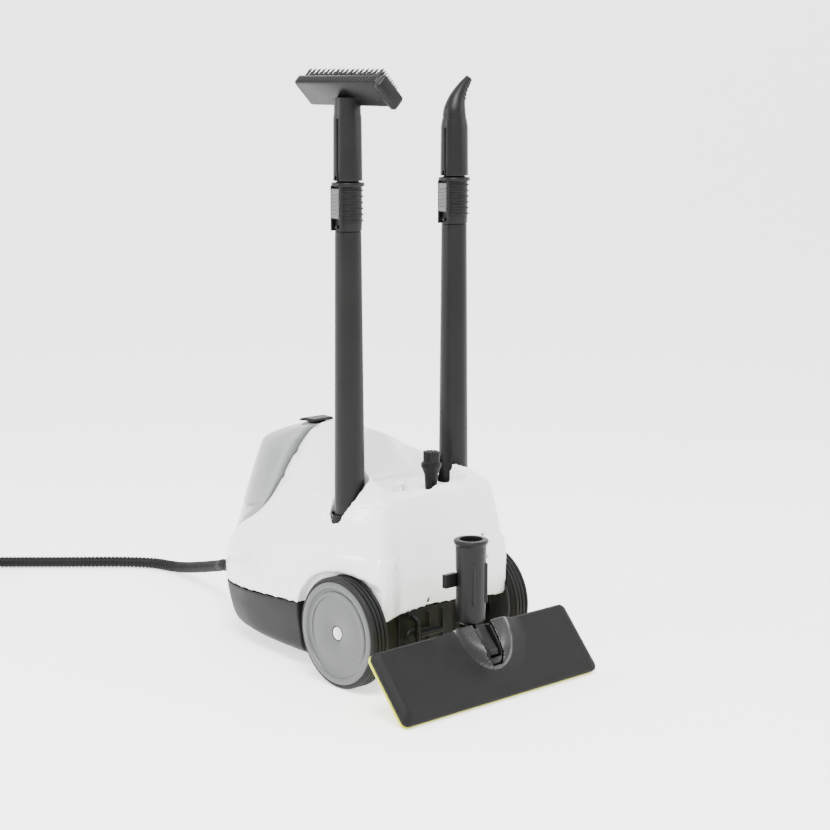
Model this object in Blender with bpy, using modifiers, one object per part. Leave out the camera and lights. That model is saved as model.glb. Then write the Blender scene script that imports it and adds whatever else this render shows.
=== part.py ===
"""Canister steam cleaner with parked extension tubes, small tools, floor nozzle and steam gun.

Lengths in the tables are millimetres and become metres in the helpers. +Z is up, the hose
leaves the front towards -Y, the wheels and the parked floor nozzle are towards +Y.
"""

import math

import bmesh
import bpy
from mathutils import Matrix, Vector

MM = 0.001
GAP = 0.3  # between pieces that touch
SMOOTH_ANGLE = math.radians(35)

# Where the machine's own origin (wheel axle, floor, symmetry plane) sits in the part's frame
MACHINE_PLACE = (-13.0, 75.1, 0.0)

WALL = 3.0
WHEEL_RADIUS = 65.0
WHEEL_INNER_X = 99.5
WHEEL_OUTER_X = 125.5
AXLE_RADIUS = 4.0

SEAM_Z = 81.0
CASTER_Y = -222.0
CASTER_TRAIL = 12.0
VALVE_Y = -299.0
FILTER_PLACE = (-36.0, -256.0)
HUMP_SWITCH_Y = -120.0
TANK_HANDLE_Y = -184.0
TUBE_X = 82.0
TUBE_Y = -24.7
TUBE_FOOT_Z = 146.0
TUBE_TOP_Z = 612.0
TUBE_FOOT_RADIUS = 18.3
TUBE_NECK_RADIUS = 14.9
COLLAR_Z = 524.0
TOOL_Z = 576.0

NOZZLE_X = 13.0
NOZZLE_EDGE = (101.0, 69.9)  # Y and Z of the parked plate's upper edge
NOZZLE_TILT = math.radians(-49.05)
NOZZLE_HALF_WIDTH = 152.5
NOZZLE_DEPTH = 90.0
YOKE_AXIS_H = 9.0
PIVOT_H = 17.5
SOCKET_Y = 105.0

HOSE_RADIUS = 7.75
COIL_CENTRE = (283.0, -755.0)
COIL_RADIUS = 88.0
HOSE_ROUTE = [
    (24, -334.5, 62),
    (23.5, -343, 61.6),
    (19, -356, 59),
    (-2, -391, 47.5),
    (-15, -432, 36),
    (-26, -476, 24.5),
    (-35, -518, 14.5),
    (-38, -550, 9.2),
    (-28, -590, 8.2),
    (4, -628, 8.2),
    (60, -678, 8.2),
    (120, -732, 8.2),
    (176, -783, 8.2),
    (226, -829, 8.2),
]
TIE = [(-108, 4), (-109, 16), (-105, 29), (-96, 33.5), (-88, 34.5), (-80, 33.5), (-71, 29),
       (-67, 16), (-68, 4)]

# Half outlines of the housing at rising heights, from the front centre to the rear centre
HOUSING = [
    (15, [(0, -262), (42, -256), (72, -232), (84, -195), (90, -150),
         (93, -90), (93, -20), (90, 16), (50, 21), (0, 21)]),
    (24, [(0, -290), (44, -282), (76, -252), (92, -205), (99, -150),
         (102, -90), (102, -20), (95, 17), (50, 22), (0, 22)]),
    (44, [(0, -302), (45, -294), (80, -258), (96, -212), (103, -150),
         (106, -85), (105, -15), (97, 19), (50, 23), (0, 23)]),
    (62, [(0, -310), (45, -302), (79, -265), (98, -212), (106, -150),
         (109, -85), (109, -12), (100, 30), (50, 24), (0, 24)]),
    (80, [(0, -313), (45, -305), (79, -267), (99, -212), (107, -150),
         (110, -85), (110, -8), (99, 44), (52, 32), (0, 24)]),
    (110, [(0, -312), (45, -303), (78, -265), (98, -211), (107, -150),
          (110, -85), (110, -6), (98, 48), (52, 33), (0, 24)]),
    (140, [(0, -290), (41, -282), (74, -248), (94, -203), (104, -150),
          (109, -85), (109, -5), (96, 47), (52, 32), (0, 24)]),
    (160, [(0, -262), (38, -254), (68, -222), (86, -190), (99, -150),
          (107, -85), (108, -4), (94, 44), (52, 31), (0, 24)]),
    (180, [(0, -245), (34, -237), (60, -205), (73, -180), (86, -145),
          (101, -85), (106, -5), (92, 41), (51, 30), (0, 24)]),
    (200, [(0, -235), (31, -227), (53, -197), (62, -172), (70, -140),
          (86, -85), (102, -10), (90, 38), (50, 29), (0, 24)]),
    (216, [(0, -226), (28, -218), (48, -190), (57, -167), (62, -137),
          (71, -85), (92, -15), (86, 35), (50, 28), (0, 24)]),
    (228, [(0, -218), (26, -210), (45, -184), (53, -162), (57, -133),
          (64, -85), (80, -15), (79, 14), (45, 12), (0, 12)]),
    (240, [(0, -209), (24, -202), (41, -177), (48, -156), (51, -130),
          (57, -85), (67, -36), (63, -16), (35, -18), (0, -18)]),
    (252, [(0, -200), (21, -193), (36, -170), (42, -151), (45, -127),
          (49, -90), (48, -60), (42, -48), (22, -50), (0, -50)]),
    (263, [(0, -190), (17, -184), (29, -165), (34, -147), (36, -125),
          (37, -100), (34, -84), (27, -76), (14, -76), (0, -76)]),
    (271, [(0, -178), (12, -173), (20, -158), (24, -144), (25, -128),
          (24, -112), (21, -104), (16, -100), (8, -99), (0, -99)]),
    (275, [(0, -162), (5, -160), (9, -153), (11, -146), (11, -138),
          (10, -130), (8, -126), (6, -124), (3, -124), (0, -124)]),
]

# The same for the water tank, which makes the upper front of the machine
TANK = [
    (92, [(0, -313), (40, -305), (60, -284), (64, -262), (64, -200), (0, -200)]),
    (110, [(0, -311), (40, -302), (62, -277), (68, -250), (68, -190), (0, -190)]),
    (140, [(0, -300), (38, -292), (62, -262), (69, -232), (69, -180), (0, -180)]),
    (165, [(0, -290), (36, -283), (58, -254), (68, -215), (68, -170), (0, -170)]),
    (200, [(0, -277), (34, -270), (55, -241), (62, -200), (62, -160), (0, -160)]),
    (235, [(0, -264), (31, -257), (49, -229), (54, -190), (54, -150), (0, -150)]),
    (249, [(0, -256), (28, -249), (43, -224), (48, -190), (48, -150), (0, -150)]),
    (262, [(0, -225), (22, -220), (33, -203), (38, -185), (38, -150), (0, -150)]),
    (269, [(0, -202), (17, -198), (27, -186), (31, -175), (31, -150), (0, -150)]),
    (272, [(0, -192), (11, -190), (18, -181), (20, -172), (20, -150), (0, -150)]),
]

# Side view of the parting surface between the water tank and the white shell
TANK_BACK = [(-400, 95), (-291, 95), (-284, 103), (-268, 122), (-245, 144), (-216, 162), (-203, 175),
             (-191, 196), (-179, 226), (-168, 258), (-160, 300), (-400, 300)]

# Side view of the wheel arch
ARCH = [(-90, -10), (-88, 79), (-79, 99), (-61, 117), (-36, 128), (0, 132), (36, 127), (54, 113),
        (62, 98), (70, 60), (70, -10)]


def new_scene():
    for old in list(bpy.data.objects):
        bpy.data.objects.remove(old, do_unlink=True)
    for name in ("steam_cleaner", "cutters"):
        made = bpy.data.collections.new(name)
        bpy.context.scene.collection.children.link(made)
    place = bpy.data.objects.new("machine_place", None)
    place.location = Vector(MACHINE_PLACE) * MM
    bpy.data.collections["steam_cleaner"].objects.link(place)
    return place


PLACE = new_scene()


def finish(name, colour, roughness, metallic=0.0):
    made = bpy.data.materials.new(name)
    made.use_nodes = True
    shader = made.node_tree.nodes["Principled BSDF"]
    shader.inputs["Base Color"].default_value = (*colour, 1.0)
    shader.inputs["Roughness"].default_value = roughness
    shader.inputs["Metallic"].default_value = metallic
    return made


WHITE = finish("white_shell", (0.86, 0.86, 0.87), 0.25)
CHARCOAL = finish("charcoal_plastic", (0.055, 0.055, 0.053), 0.5)
BLACK = finish("black_plastic", (0.012, 0.012, 0.012), 0.45)
SATIN = finish("satin_tube_plastic", (0.035, 0.035, 0.034), 0.38)
GREY = finish("wheel_grey_plastic", (0.22, 0.225, 0.225), 0.4)
SLIDER_GREY = finish("slider_grey_plastic", (0.3, 0.3, 0.3), 0.5)
RUBBER = finish("black_rubber", (0.02, 0.02, 0.02), 0.75)
SMOKE = finish("smoke_tank_plastic", (0.5, 0.51, 0.51), 0.15)
CLOTH = finish("lime_microfibre", (0.72, 0.8, 0.05), 0.95)
BRISTLE = finish("black_bristle", (0.01, 0.01, 0.01), 0.6)
ALUMINIUM = finish("cast_aluminium", (0.6, 0.6, 0.6), 0.45, 1.0)
STEEL = finish("zinc_steel", (0.6, 0.6, 0.58), 0.35, 1.0)
BRASS = finish("brass", (0.7, 0.5, 0.2), 0.3, 1.0)
SILICONE = finish("clear_silicone", (0.7, 0.7, 0.68), 0.4)
BOARD = finish("circuit_board", (0.02, 0.16, 0.06), 0.5)
LAMP = finish("red_lamp_lens", (0.5, 0.02, 0.02), 0.2)
RESIN = finish("filter_resin_plastic", (0.75, 0.76, 0.72), 0.4)


def add(name, data, material, parent=PLACE, at=(0, 0, 0), turn=(0, 0, 0)):
    """A part in the model, placed by its location and rotation under its parent."""
    made = bpy.data.objects.new(name, data)
    bpy.data.collections["steam_cleaner"].objects.link(made)
    made.parent = parent
    made.location = Vector(at) * MM
    made.rotation_euler = turn
    data.materials.append(material)
    return made


def empty(name, at, turn=(0, 0, 0), parent=PLACE):
    made = bpy.data.objects.new(name, None)
    bpy.data.collections["steam_cleaner"].objects.link(made)
    made.parent = parent
    made.location = Vector(at) * MM
    made.rotation_euler = turn
    return made


def as_cutter(made):
    bpy.data.collections["steam_cleaner"].objects.unlink(made)
    bpy.data.collections["cutters"].objects.link(made)
    made.hide_render = True
    made.display_type = "WIRE"
    return made


def boolean(target, cutter, operation="DIFFERENCE"):
    step = target.modifiers.new(cutter.name, "BOOLEAN")
    step.object = cutter
    step.operation = operation
    return target


def cut(target, *cutters):
    for cutter in cutters:
        boolean(target, as_cutter(cutter) if cutter.display_type != "WIRE" else cutter)
    return target


def fuse(target, *others):
    for other in others:
        boolean(target, as_cutter(other), "UNION")
    return target


def mesh_of(name, form):
    bmesh.ops.recalc_face_normals(form, faces=form.faces)
    data = bpy.data.meshes.new(name)
    form.to_mesh(data)
    form.free()
    data.shade_smooth()
    data.set_sharp_from_angle(angle=SMOOTH_ANGLE)
    return data


def box(name, low, high, material, parent=PLACE, bevel=0.0, turn=(0, 0, 0)):
    """A box from its low to its high corner, with its origin at its middle."""
    low, high = Vector(low), Vector(high)
    form = bmesh.new()
    bmesh.ops.create_cube(form, size=1.0)
    bmesh.ops.transform(form, matrix=Matrix.Diagonal((*(high - low) * MM, 1.0)), verts=form.verts)
    if bevel:
        bmesh.ops.bevel(form, geom=form.edges[:], offset=bevel * MM, segments=2, profile=0.5,
                        affect="EDGES")
    return add(name, mesh_of(name, form), material, parent, (low + high) / 2, turn)


AXIS_TURN = {"Z": (0, 0, 0), "X": (0, math.pi / 2, 0), "Y": (-math.pi / 2, 0, 0)}


def cylinder(name, radius, low, high, at, material, axis="Z", parent=PLACE, sides=24, top_radius=None):
    """A cylinder or cone along an axis through at, from low to high along it."""
    form = bmesh.new()
    bmesh.ops.create_cone(form, cap_ends=True, segments=sides, radius1=radius * MM,
                          radius2=(top_radius or radius) * MM, depth=(high - low) * MM)
    bmesh.ops.translate(form, vec=(0, 0, (low + high) / 2 * MM), verts=form.verts)
    return add(name, mesh_of(name, form), material, parent, at, AXIS_TURN[axis])


def turned(name, profile, material, at=(0, 0, 0), axis="Z", parent=PLACE, sides=32, turn=None):
    """A turned piece. Its profile of (radius, height) runs top to bottom down its outer side.

    The profile is closed from its last point to its first, except along the axis itself.
    """
    data = bpy.data.meshes.new(name)
    points = [(r * MM, 0, z * MM) for r, z in profile]
    loop = zip(range(len(points)), [*range(1, len(points)), 0])
    edges = [(i, j) for i, j in loop if profile[i][0] > 0 or profile[j][0] > 0]
    data.from_pydata(points, edges, [])
    made = add(name, data, material, parent, at, turn or AXIS_TURN[axis])
    screw = made.modifiers.new("turn", "SCREW")
    screw.steps = screw.render_steps = sides
    screw.use_merge_vertices = True
    screw.merge_threshold = 0.00001
    return made


def prism(name, outline, low, high, material, axis="X", parent=PLACE, at=(0, 0, 0), turn=(0, 0, 0)):
    """An outline in the plane across an axis, extruded along it from low to high."""
    place = {"X": lambda a, b, t: (t, a, b), "Y": lambda a, b, t: (a, t, b), "Z": lambda a, b,
             t: (a, b, t)}[axis]
    form = bmesh.new()
    face = form.faces.new([form.verts.new(Vector(place(a, b, low)) * MM) for a, b in outline])
    pushed = bmesh.ops.extrude_face_region(form, geom=[face])["geom"]
    moved = [v for v in pushed if isinstance(v, bmesh.types.BMVert)]
    bmesh.ops.translate(form, vec=Vector(place(0, 0, high - low)) * MM, verts=moved)
    return add(name, mesh_of(name, form), material, parent, at, turn)


def spline(points, steps, closed=False):
    """Points on a smooth curve through the given ones."""
    points = [Vector(p) for p in points]
    ends = (points[-1], points[0], points[1]) if closed else (
        2 * points[0] - points[1], 2 * points[-1] - points[-2], None)
    line = [ends[0], *points, ends[1]] + ([ends[2]] if closed else [])
    out = []
    for i in range(1, len(line) - 2):
        a, b, c, d = line[i - 1:i + 3]
        for k in range(steps):
            t = k / steps
            out.append(0.5 * (2 * b + (c - a) * t + (2 * a - 5 * b + 4 * c - d) * t ** 2
                              + (3 * b - a - 3 * c + d) * t ** 3))
    return out if closed else out + [points[-1]]


def mirrored_ring(half, steps):
    """A closed outline from half of it, smoothed, with the other half mirrored across X = 0."""
    side = spline(half, steps)
    return side + [Vector((-p.x, p.y)) for p in side[-2:0:-1]]


def loft(name, rings, material, parent=PLACE, at=(0, 0, 0), turn=(0, 0, 0)):
    """A closed body through rings of equal numbers of points, with flat ends."""
    form = bmesh.new()
    rows = [[form.verts.new(Vector(p) * MM) for p in ring] for ring in rings]
    for row, above in zip(rows, rows[1:]):
        for i in range(len(row)):
            j = (i + 1) % len(row)
            form.faces.new((row[i], row[j], above[j], above[i]))
    form.faces.new(list(reversed(rows[0])))
    form.faces.new(rows[-1])
    return add(name, mesh_of(name, form), material, parent, at, turn)


def narrowed(ring, amount):
    """An outline made smaller by an amount on each of its four sides."""
    half_x = max(p.x for p in ring)
    low, high = min(p.y for p in ring), max(p.y for p in ring)
    middle, half_y = (low + high) / 2, (high - low) / 2
    return [Vector((p.x * (half_x - amount) / half_x, middle + (p.y - middle) * (half_y - amount) / half_y))
            for p in ring]


def stacked(name, table, material, inset=0.0, steps=2):
    """A body through half outlines at rising heights, or one that lies inset inside it."""
    bottom, top = table[0][0], table[-1][0]
    rings = []
    for z, half in table:
        level = bottom + inset + (z - bottom) * (top - bottom - 2 * inset) / (top - bottom)
        rings.append([(p.x, p.y, level) for p in narrowed(mirrored_ring(half, steps), inset)])
    return loft(name, rings, material)


def rod(name, points, radius, material, parent=PLACE, sides_level=2, steps=0):
    """A round wire, pipe or hose along points, as a welded mesh."""
    line = spline(points, steps) if steps else [Vector(p) for p in points]
    curve = bpy.data.curves.new(name, "CURVE")
    curve.dimensions = "3D"
    path = curve.splines.new("POLY")
    path.points.add(len(line) - 1)
    for point, place in zip(path.points, line):
        point.co = (*(place * MM), 1.0)
    curve.bevel_depth = radius * MM
    curve.bevel_resolution = sides_level
    curve.use_fill_caps = True
    guide = add(name + "_line", curve, material, parent)
    bpy.context.view_layer.update()
    data = bpy.data.meshes.new_from_object(guide.evaluated_get(bpy.context.evaluated_depsgraph_get()))
    bpy.data.objects.remove(guide)
    form = bmesh.new()
    form.from_mesh(data)
    bmesh.ops.remove_doubles(form, verts=form.verts, dist=0.00001)
    bpy.data.meshes.remove(data)
    return add(name, mesh_of(name, form), material, parent)


def rounded_rectangle(half_x, low_y, high_y, radius, steps=3):
    """Outline points of a rectangle with round corners."""
    centres = [(half_x - radius, high_y - radius, 0), (-half_x + radius, high_y - radius, 90),
               (-half_x + radius, low_y + radius, 180), (half_x - radius, low_y + radius, 270)]
    return [(x + radius * math.cos(math.radians(start + 90 * k / steps)),
             y + radius * math.sin(math.radians(start + 90 * k / steps)))
            for x, y, start in centres for k in range(steps + 1)]


def shifted(outline, back, rise):
    """An outline in the Y-Z plane moved along Y and Z."""
    return [(y + back, z + rise) for y, z in outline]


# ---- housing -------------------------------------------------------------------------------

def seam_outline(gap):
    """Side view of everything below the seam between the white shell and the base."""
    return [(-400, 58.5 + gap), (-86, SEAM_Z + gap), (100, SEAM_Z + gap), (100, -20), (-400, -20)]


def arch_cutter(name, inner_x, grow=0.0, side=1):
    outline = [(y * (1 + grow / 80), z * (1 + grow / 110) if z > 0 else z) for y, z in ARCH]
    ends = (inner_x, 140) if side > 0 else (-140, -inner_x)
    return prism(name, outline, *ends, BLACK)


BAY_FLOOR_Z = 213.0


def bay_cutter(name, grow=0.0):
    floor = [(0, -60), (30, -58), (49, -49), (56, -22), (64, 6), (56, 18), (0, 20)]
    rim = [(0, -116), (28, -110), (50, -80), (60, -32), (73, 8), (66, 20), (0, 21.5)]
    rings = []
    for z, half in ((BAY_FLOOR_Z - grow, floor), (BAY_FLOOR_Z + 9, floor), (290, rim)):
        ring = mirrored_ring(half, 2)
        rings.append([(p.x * (1 + grow / 60), -20 + (p.y + 20) * (1 + grow / 42), z) for p in ring])
    return loft(name, rings, WHITE)


def tube_hole(name, radius, floor_z, side):
    return cylinder(name, radius, floor_z, 300, (side * TUBE_X, TUBE_Y, 0), WHITE, sides=20)


def upper_shell():
    shell = stacked("upper_shell", HOUSING, WHITE)
    cavity = as_cutter(stacked("shell_cavity", HOUSING, WHITE, inset=WALL))
    cut(shell, prism("below_seam", seam_outline(0), -200, 200, WHITE))
    cut(shell, prism("tank_space", TANK_BACK, -200, 200, WHITE))
    cut(cavity, prism("tank_space_wall", shifted(TANK_BACK, WALL, -WALL), -200, 200, WHITE))
    cut(shell, bay_cutter("bay"))
    cut(cavity, bay_cutter("bay_wall", WALL))
    for side in (-1, 1):
        cut(shell, tube_hole(f"tube_hole_{side}", 22, 141, side))
        cut(cavity, tube_hole(f"tube_hole_wall_{side}", 24.5, 138, side))
        cut(shell, arch_cutter(f"arch_{side}", 97.3, 0, side))
        cut(cavity, arch_cutter(f"arch_wall_{side}", 94.8, WALL, side))
    boolean(shell, cavity)
    cut(shell, box("switch_hole", (-12.5, HUMP_SWITCH_Y - 9, 255), (12.5, HUMP_SWITCH_Y + 9, 290), WHITE))
    cut(shell, cylinder("lamp_hole", 3.3, 255, 290, (0, HUMP_SWITCH_Y - 18, 0), WHITE))
    cut(shell, cylinder("valve_hole", 6.5, 85, 100, (0, VALVE_Y, 0), WHITE, sides=16))
    cut(shell, cylinder("filter_hole", 12.5, 98, 200, (*FILTER_PLACE, 0), WHITE))
    peg = cylinder("brush_peg", 4.2, BAY_FLOOR_Z - 1, 224, (-19, 4, 0), WHITE, sides=16)
    hook = prism("cord_hook", [(18, BAY_FLOOR_Z - 1), (18, 224), (22, 229), (33, 229), (38, 224),
                               (38, BAY_FLOOR_Z - 1),
                               (33, BAY_FLOOR_Z - 1), (33, 222), (30, 225), (24, 225), (23, 222),
                               (23, BAY_FLOOR_Z - 1)], -2, 6, WHITE, axis="Y")
    fuse(shell, peg, hook)
    return shell


def base_pan():
    base = stacked("base_pan", HOUSING[:6], CHARCOAL)
    cavity = as_cutter(stacked("base_cavity", HOUSING[:6], CHARCOAL, inset=WALL, steps=1))
    above = [(-400, 58.5 - GAP), (-86, SEAM_Z - GAP), (100, SEAM_Z - GAP), (100, 200), (-400, 200)]
    cut(base, prism("above_seam", above, -200, 200, CHARCOAL))
    cut(base, box("behind_base", (-150, 24 - GAP, 0), (150, 90, 120), CHARCOAL))
    for side in (-1, 1):
        cut(base, arch_cutter(f"base_arch_{side}", 97.3, 0, side))
        cut(cavity, arch_cutter(f"base_arch_wall_{side}", 90.8, WALL, side))
    cut(cavity, box("rear_wall", (-150, 21 - GAP, 0), (150, 90, 120), CHARCOAL))
    cut(cavity, cylinder("caster_cup_wall", 35, 0, 46, (0, CASTER_Y, 0), CHARCOAL))
    boolean(base, cavity)
    cut(base, cylinder("caster_cup", 32, 0, 43, (0, CASTER_Y, 0), CHARCOAL))
    cut(base, cylinder("caster_bore", 4.4, 30, 60, (0, CASTER_Y, 0), CHARCOAL, sides=16))
    cut(base, cylinder("axle_bore", AXLE_RADIUS + GAP, -130, 130, (0, 0, WHEEL_RADIUS), CHARCOAL, axis="X"))
    cut(base, cylinder("base_cord_bore", 8, 15, 40, (-58, 0, 46), CHARCOAL, axis="Y"))
    cut(base, cylinder("hose_bore", 13, -330, -285, (24, 0, 62), CHARCOAL, axis="Y"))
    return base


def shell_hose_bore(shell):
    cut(shell, cylinder("shell_hose_bore", 13, -330, -285, (24, 0, 62), WHITE, axis="Y"))


def rear_panel():
    """Black rear cover of the base with the hook rib that the parked floor nozzle leans on."""
    panel = prism("rear_panel", [(-94, 18), (94, 18), (94, 60), (90, 80.4), (-90, 80.4), (-94, 60)],
                  24, 28, BLACK, axis="Y")
    rib = prism("park_rib", [(27, 76), (38, 76), (43, 70), (43, 34), (38, 26), (27, 26), (27, 32), (36, 32),
                             (38, 36), (38, 68), (35, 71), (27, 71)], 33, 38, BLACK)
    ledge = box("park_ledge", (-6, 27, 50), (30, 40, 55), BLACK)
    fuse(panel, rib, ledge)
    cut(panel, cylinder("cord_bore", 8, 15, 40, (-58, 0, 46), BLACK, axis="Y"))
    return panel


def housing():
    shell = upper_shell()
    shell_hose_bore(shell)
    base_pan()
    rear_panel()
    for side, hand in ((1, "left"), (-1, "right")):
        turned(f"tube_holder_{hand}", [(21.6, 196), (21.6, 141.4), (0, 141.4), (0, 144.4), (19.2, 144.4),
                                       (19.2, 196)],
               BLACK, (side * TUBE_X, TUBE_Y, 0), sides=20)


# ---- wheels --------------------------------------------------------------------------------

def running_gear():
    cylinder("wheel_axle", AXLE_RADIUS, -123, 123, (0, 0, WHEEL_RADIUS), STEEL, axis="X", sides=16)
    for side, hand in ((1, "left"), (-1, "right")):
        turn = (0, side * math.pi / 2, 0)
        centre = (0, 0, WHEEL_RADIUS)
        inner, outer = WHEEL_INNER_X, WHEEL_OUTER_X
        turned(f"axle_clip_{hand}", [(7.5, 122.8), (7.5, 121.4), (4.3, 121.4), (4.3, 122.8)], STEEL, centre,
               sides=16, turn=turn)
        turned(f"tyre_{hand}", [(60.5, outer - 1), (63.5, outer - 2.4), (WHEEL_RADIUS, outer - 5),
                                (WHEEL_RADIUS, inner + 4), (61, inner), (56.3, inner), (56.3, outer - 4.4),
                                (60.5, outer - 4.4)], RUBBER, centre, parent=PLACE,
               sides=26, turn=turn)
        turned(f"wheel_{hand}", [(9, outer - 4.4), (9, outer - 1.2), (52, outer - 1.2), (54, outer),
                                 (59.5, outer), (60.2, outer - 4),
                                 (56, outer - 4), (56, inner + 1), (53, inner + 1), (53, outer - 4.5),
                                 (11, outer - 4.5), (11, inner + 1), (4.35, inner + 1), (4.35,
                                                                                         outer - 4.4)],
               GREY, centre, parent=PLACE, sides=26, turn=turn)


def caster():
    place = empty("caster_place", (0, CASTER_Y, 0))
    swivel = turned("caster_fork", [(0, 52), (4, 52), (4, 41), (22, 41), (24, 39), (24, 36), (0, 36)],
                    BLACK, parent=place,
                    sides=20)
    for side in (-1, 1):
        fuse(swivel, prism(f"fork_arm_{side}", [(-16, 37), (16, 37), (20, 16), (16, 9), (9, 9), (-4, 22)],
                           side * 12, side * 15.5, BLACK, parent=place))
    cut(swivel, cylinder("fork_bore", 3.3, -30, 30, (0, CASTER_TRAIL, 17), BLACK, axis="X", parent=place,
                         sides=12))
    cylinder("caster_pin", 3, -16.5, 16.5, (0, CASTER_TRAIL, 17), STEEL, axis="X", parent=place, sides=12)
    turned("caster_wheel", [(15, 10), (17, 8), (17, -8), (15, -10), (3.4, -10), (3.4, 10)], GREY,
           (0, CASTER_TRAIL, 17), "X",
           parent=place, sides=20)


# ---- water tank ----------------------------------------------------------------------------

def water_tank():
    tank = stacked("water_tank", TANK, SMOKE, inset=0.3)
    hollow = as_cutter(stacked("tank_hollow", TANK, SMOKE, inset=2.6))
    for body, gap in ((tank, 0.7), (hollow, 3.2)):
        view = as_cutter(prism(f"{body.name}_view", shifted(TANK_BACK, -gap, gap), -200, 200, SMOKE))
        boolean(body, view, "INTERSECT")
    boolean(tank, hollow)
    cut(tank, cylinder("filler_hole", 10.3, 250, 300, (0, TANK_HANDLE_Y, 0), SMOKE))
    cut(tank, cylinder("outlet_hole", 5.3, 80, 110, (0, VALVE_Y, 0), SMOKE, sides=16))
    grip = prism("tank_handle", [(-200, 272.5), (-190, 277.5), (-170, 277.5), (-168, 275.5), (-170, 273.6)],
                 -16, 16, BLACK)
    fuse(grip, cylinder("filler_plug", 10, 262, 275, (0, TANK_HANDLE_Y, 0), BLACK))
    turned("tank_valve", [(0, 108), (5, 108), (5, 87), (3.5, 85), (0, 85)], BLACK, (0, VALVE_Y, 0),
           sides=16)


# ---- inside --------------------------------------------------------------------------------

BOILER_PLACE = (0.0, -86.0)
BOILER_RADIUS = 52.0


def steam_works():
    """Boiler in two cast halves with its heater, thermostats, valves, pump and pipes."""
    place = empty("boiler_place", (*BOILER_PLACE, 0))
    outer, inner = BOILER_RADIUS, BOILER_RADIUS - 4
    turned("boiler_lower", [(outer, 84), (outer, 40), (outer - 10, 30), (0, 30), (0, 34), (inner - 9, 34),
                            (inner, 42), (inner, 84)], ALUMINIUM, parent=place, sides=24)
    lid = turned("boiler_upper", [(0, 130), (outer - 10, 130), (outer, 120), (outer, 85), (inner, 85),
                                  (inner, 118),
                                  (inner - 9, 126), (0, 126)], ALUMINIUM, parent=place, sides=24)
    cut(lid, cylinder("steam_port", 5, 120, 140, (0, 18, 0), ALUMINIUM, parent=place, sides=12))
    turned("boiler_gasket", [(outer, 84.7), (outer, 84.3), (inner, 84.3), (inner, 84.7)], SILICONE,
           parent=place,
           sides=24)
    ring = [(30 * math.cos(math.radians(a)), 30 * math.sin(math.radians(a)), 24) for a in range(20, 341,
                                                                                                16)]
    rod("heating_element", [(46, 10, 24), *ring, (46, -10, 24)], 4, STEEL, parent=place)
    turned("thermostat", [(0, 141), (9, 141), (9, 131), (0, 131)], BLACK, (-24, -10, 0), parent=place,
           sides=16)
    turned("relief_valve", [(0, 148), (5, 148), (8, 142), (8, 131), (0, 131)], BRASS, (26, -12, 0),
           parent=place, sides=12)
    box("steam_valve", (-14, -44, 132), (14, -14, 166), BLACK)
    box("pump", (40, -228, 40), (74, -154, 76), BLACK, bevel=3)
    box("control_board", (-45, -2, 96), (45, 1, 186), BOARD)
    rod("feed_hose", [(0, VALVE_Y, 72), (-3, -292, 56), (8, -276, 42), (44, -260, 44), (54, -242, 52),
                      (54, -229, 53)], 4,
        SILICONE, steps=3)
    rod("steam_pipe", [(0, -45.4, 142), (0, -52, 142), (-18, -62, 146), (-62, -100, 140),
                       (-66, -170, 110), (-40, -230, 80),
                       (6, -262, 64), (24, -284, 62)], 4, BRASS, steps=3)
    turned("tank_coupling", [(8, 84.5), (8, 74.4), (0, 74.4), (0, 77), (5.6, 77), (5.6, 84.5)], BLACK,
           (0, VALVE_Y, 0), sides=16)
    turned("descaling_cartridge", [(0, 118), (5, 118), (6, 112), (12, 112), (11, 62), (0, 60)], RESIN,
           (*FILTER_PLACE, 0), sides=20)


def switch_and_lamp():
    """Rocker switch and pilot lamp on the crest."""
    box("switch_housing", (-12, HUMP_SWITCH_Y - 8.5, 248), (12, HUMP_SWITCH_Y + 8.5, 262), BLACK)
    prism("power_switch", [(-6.8, 264.5), (6.8, 264.5), (7.2, 273.5), (0, 271.5), (-7.2, 275.5)], -11, 11,
          BLACK,
          at=(0, HUMP_SWITCH_Y, 0))
    turned("pilot_lamp", [(0, 275.5), (2, 275), (3, 274), (3, 262), (0, 262)], LAMP,
           (0, HUMP_SWITCH_Y - 18, 0), sides=14)


# ---- hose ----------------------------------------------------------------------------------

def glands():
    turned("hose_gland", [(16, 14), (16, 11.5), (12.6, 11.5), (12.6, -6), (8.4, -6), (8.4, 14)], BLACK,
           (24, -300, 62), sides=24, turn=(math.pi / 2, 0, 0))
    turned("cord_gland", [(10, 6), (10, 0.4), (7.6, 0.4), (7.6, -12), (4.2, -12), (4.2, 6)], BLACK,
           (-58, 28, 46), "Y", sides=20)


# ---- accessories ---------------------------------------------------------------------------

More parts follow.
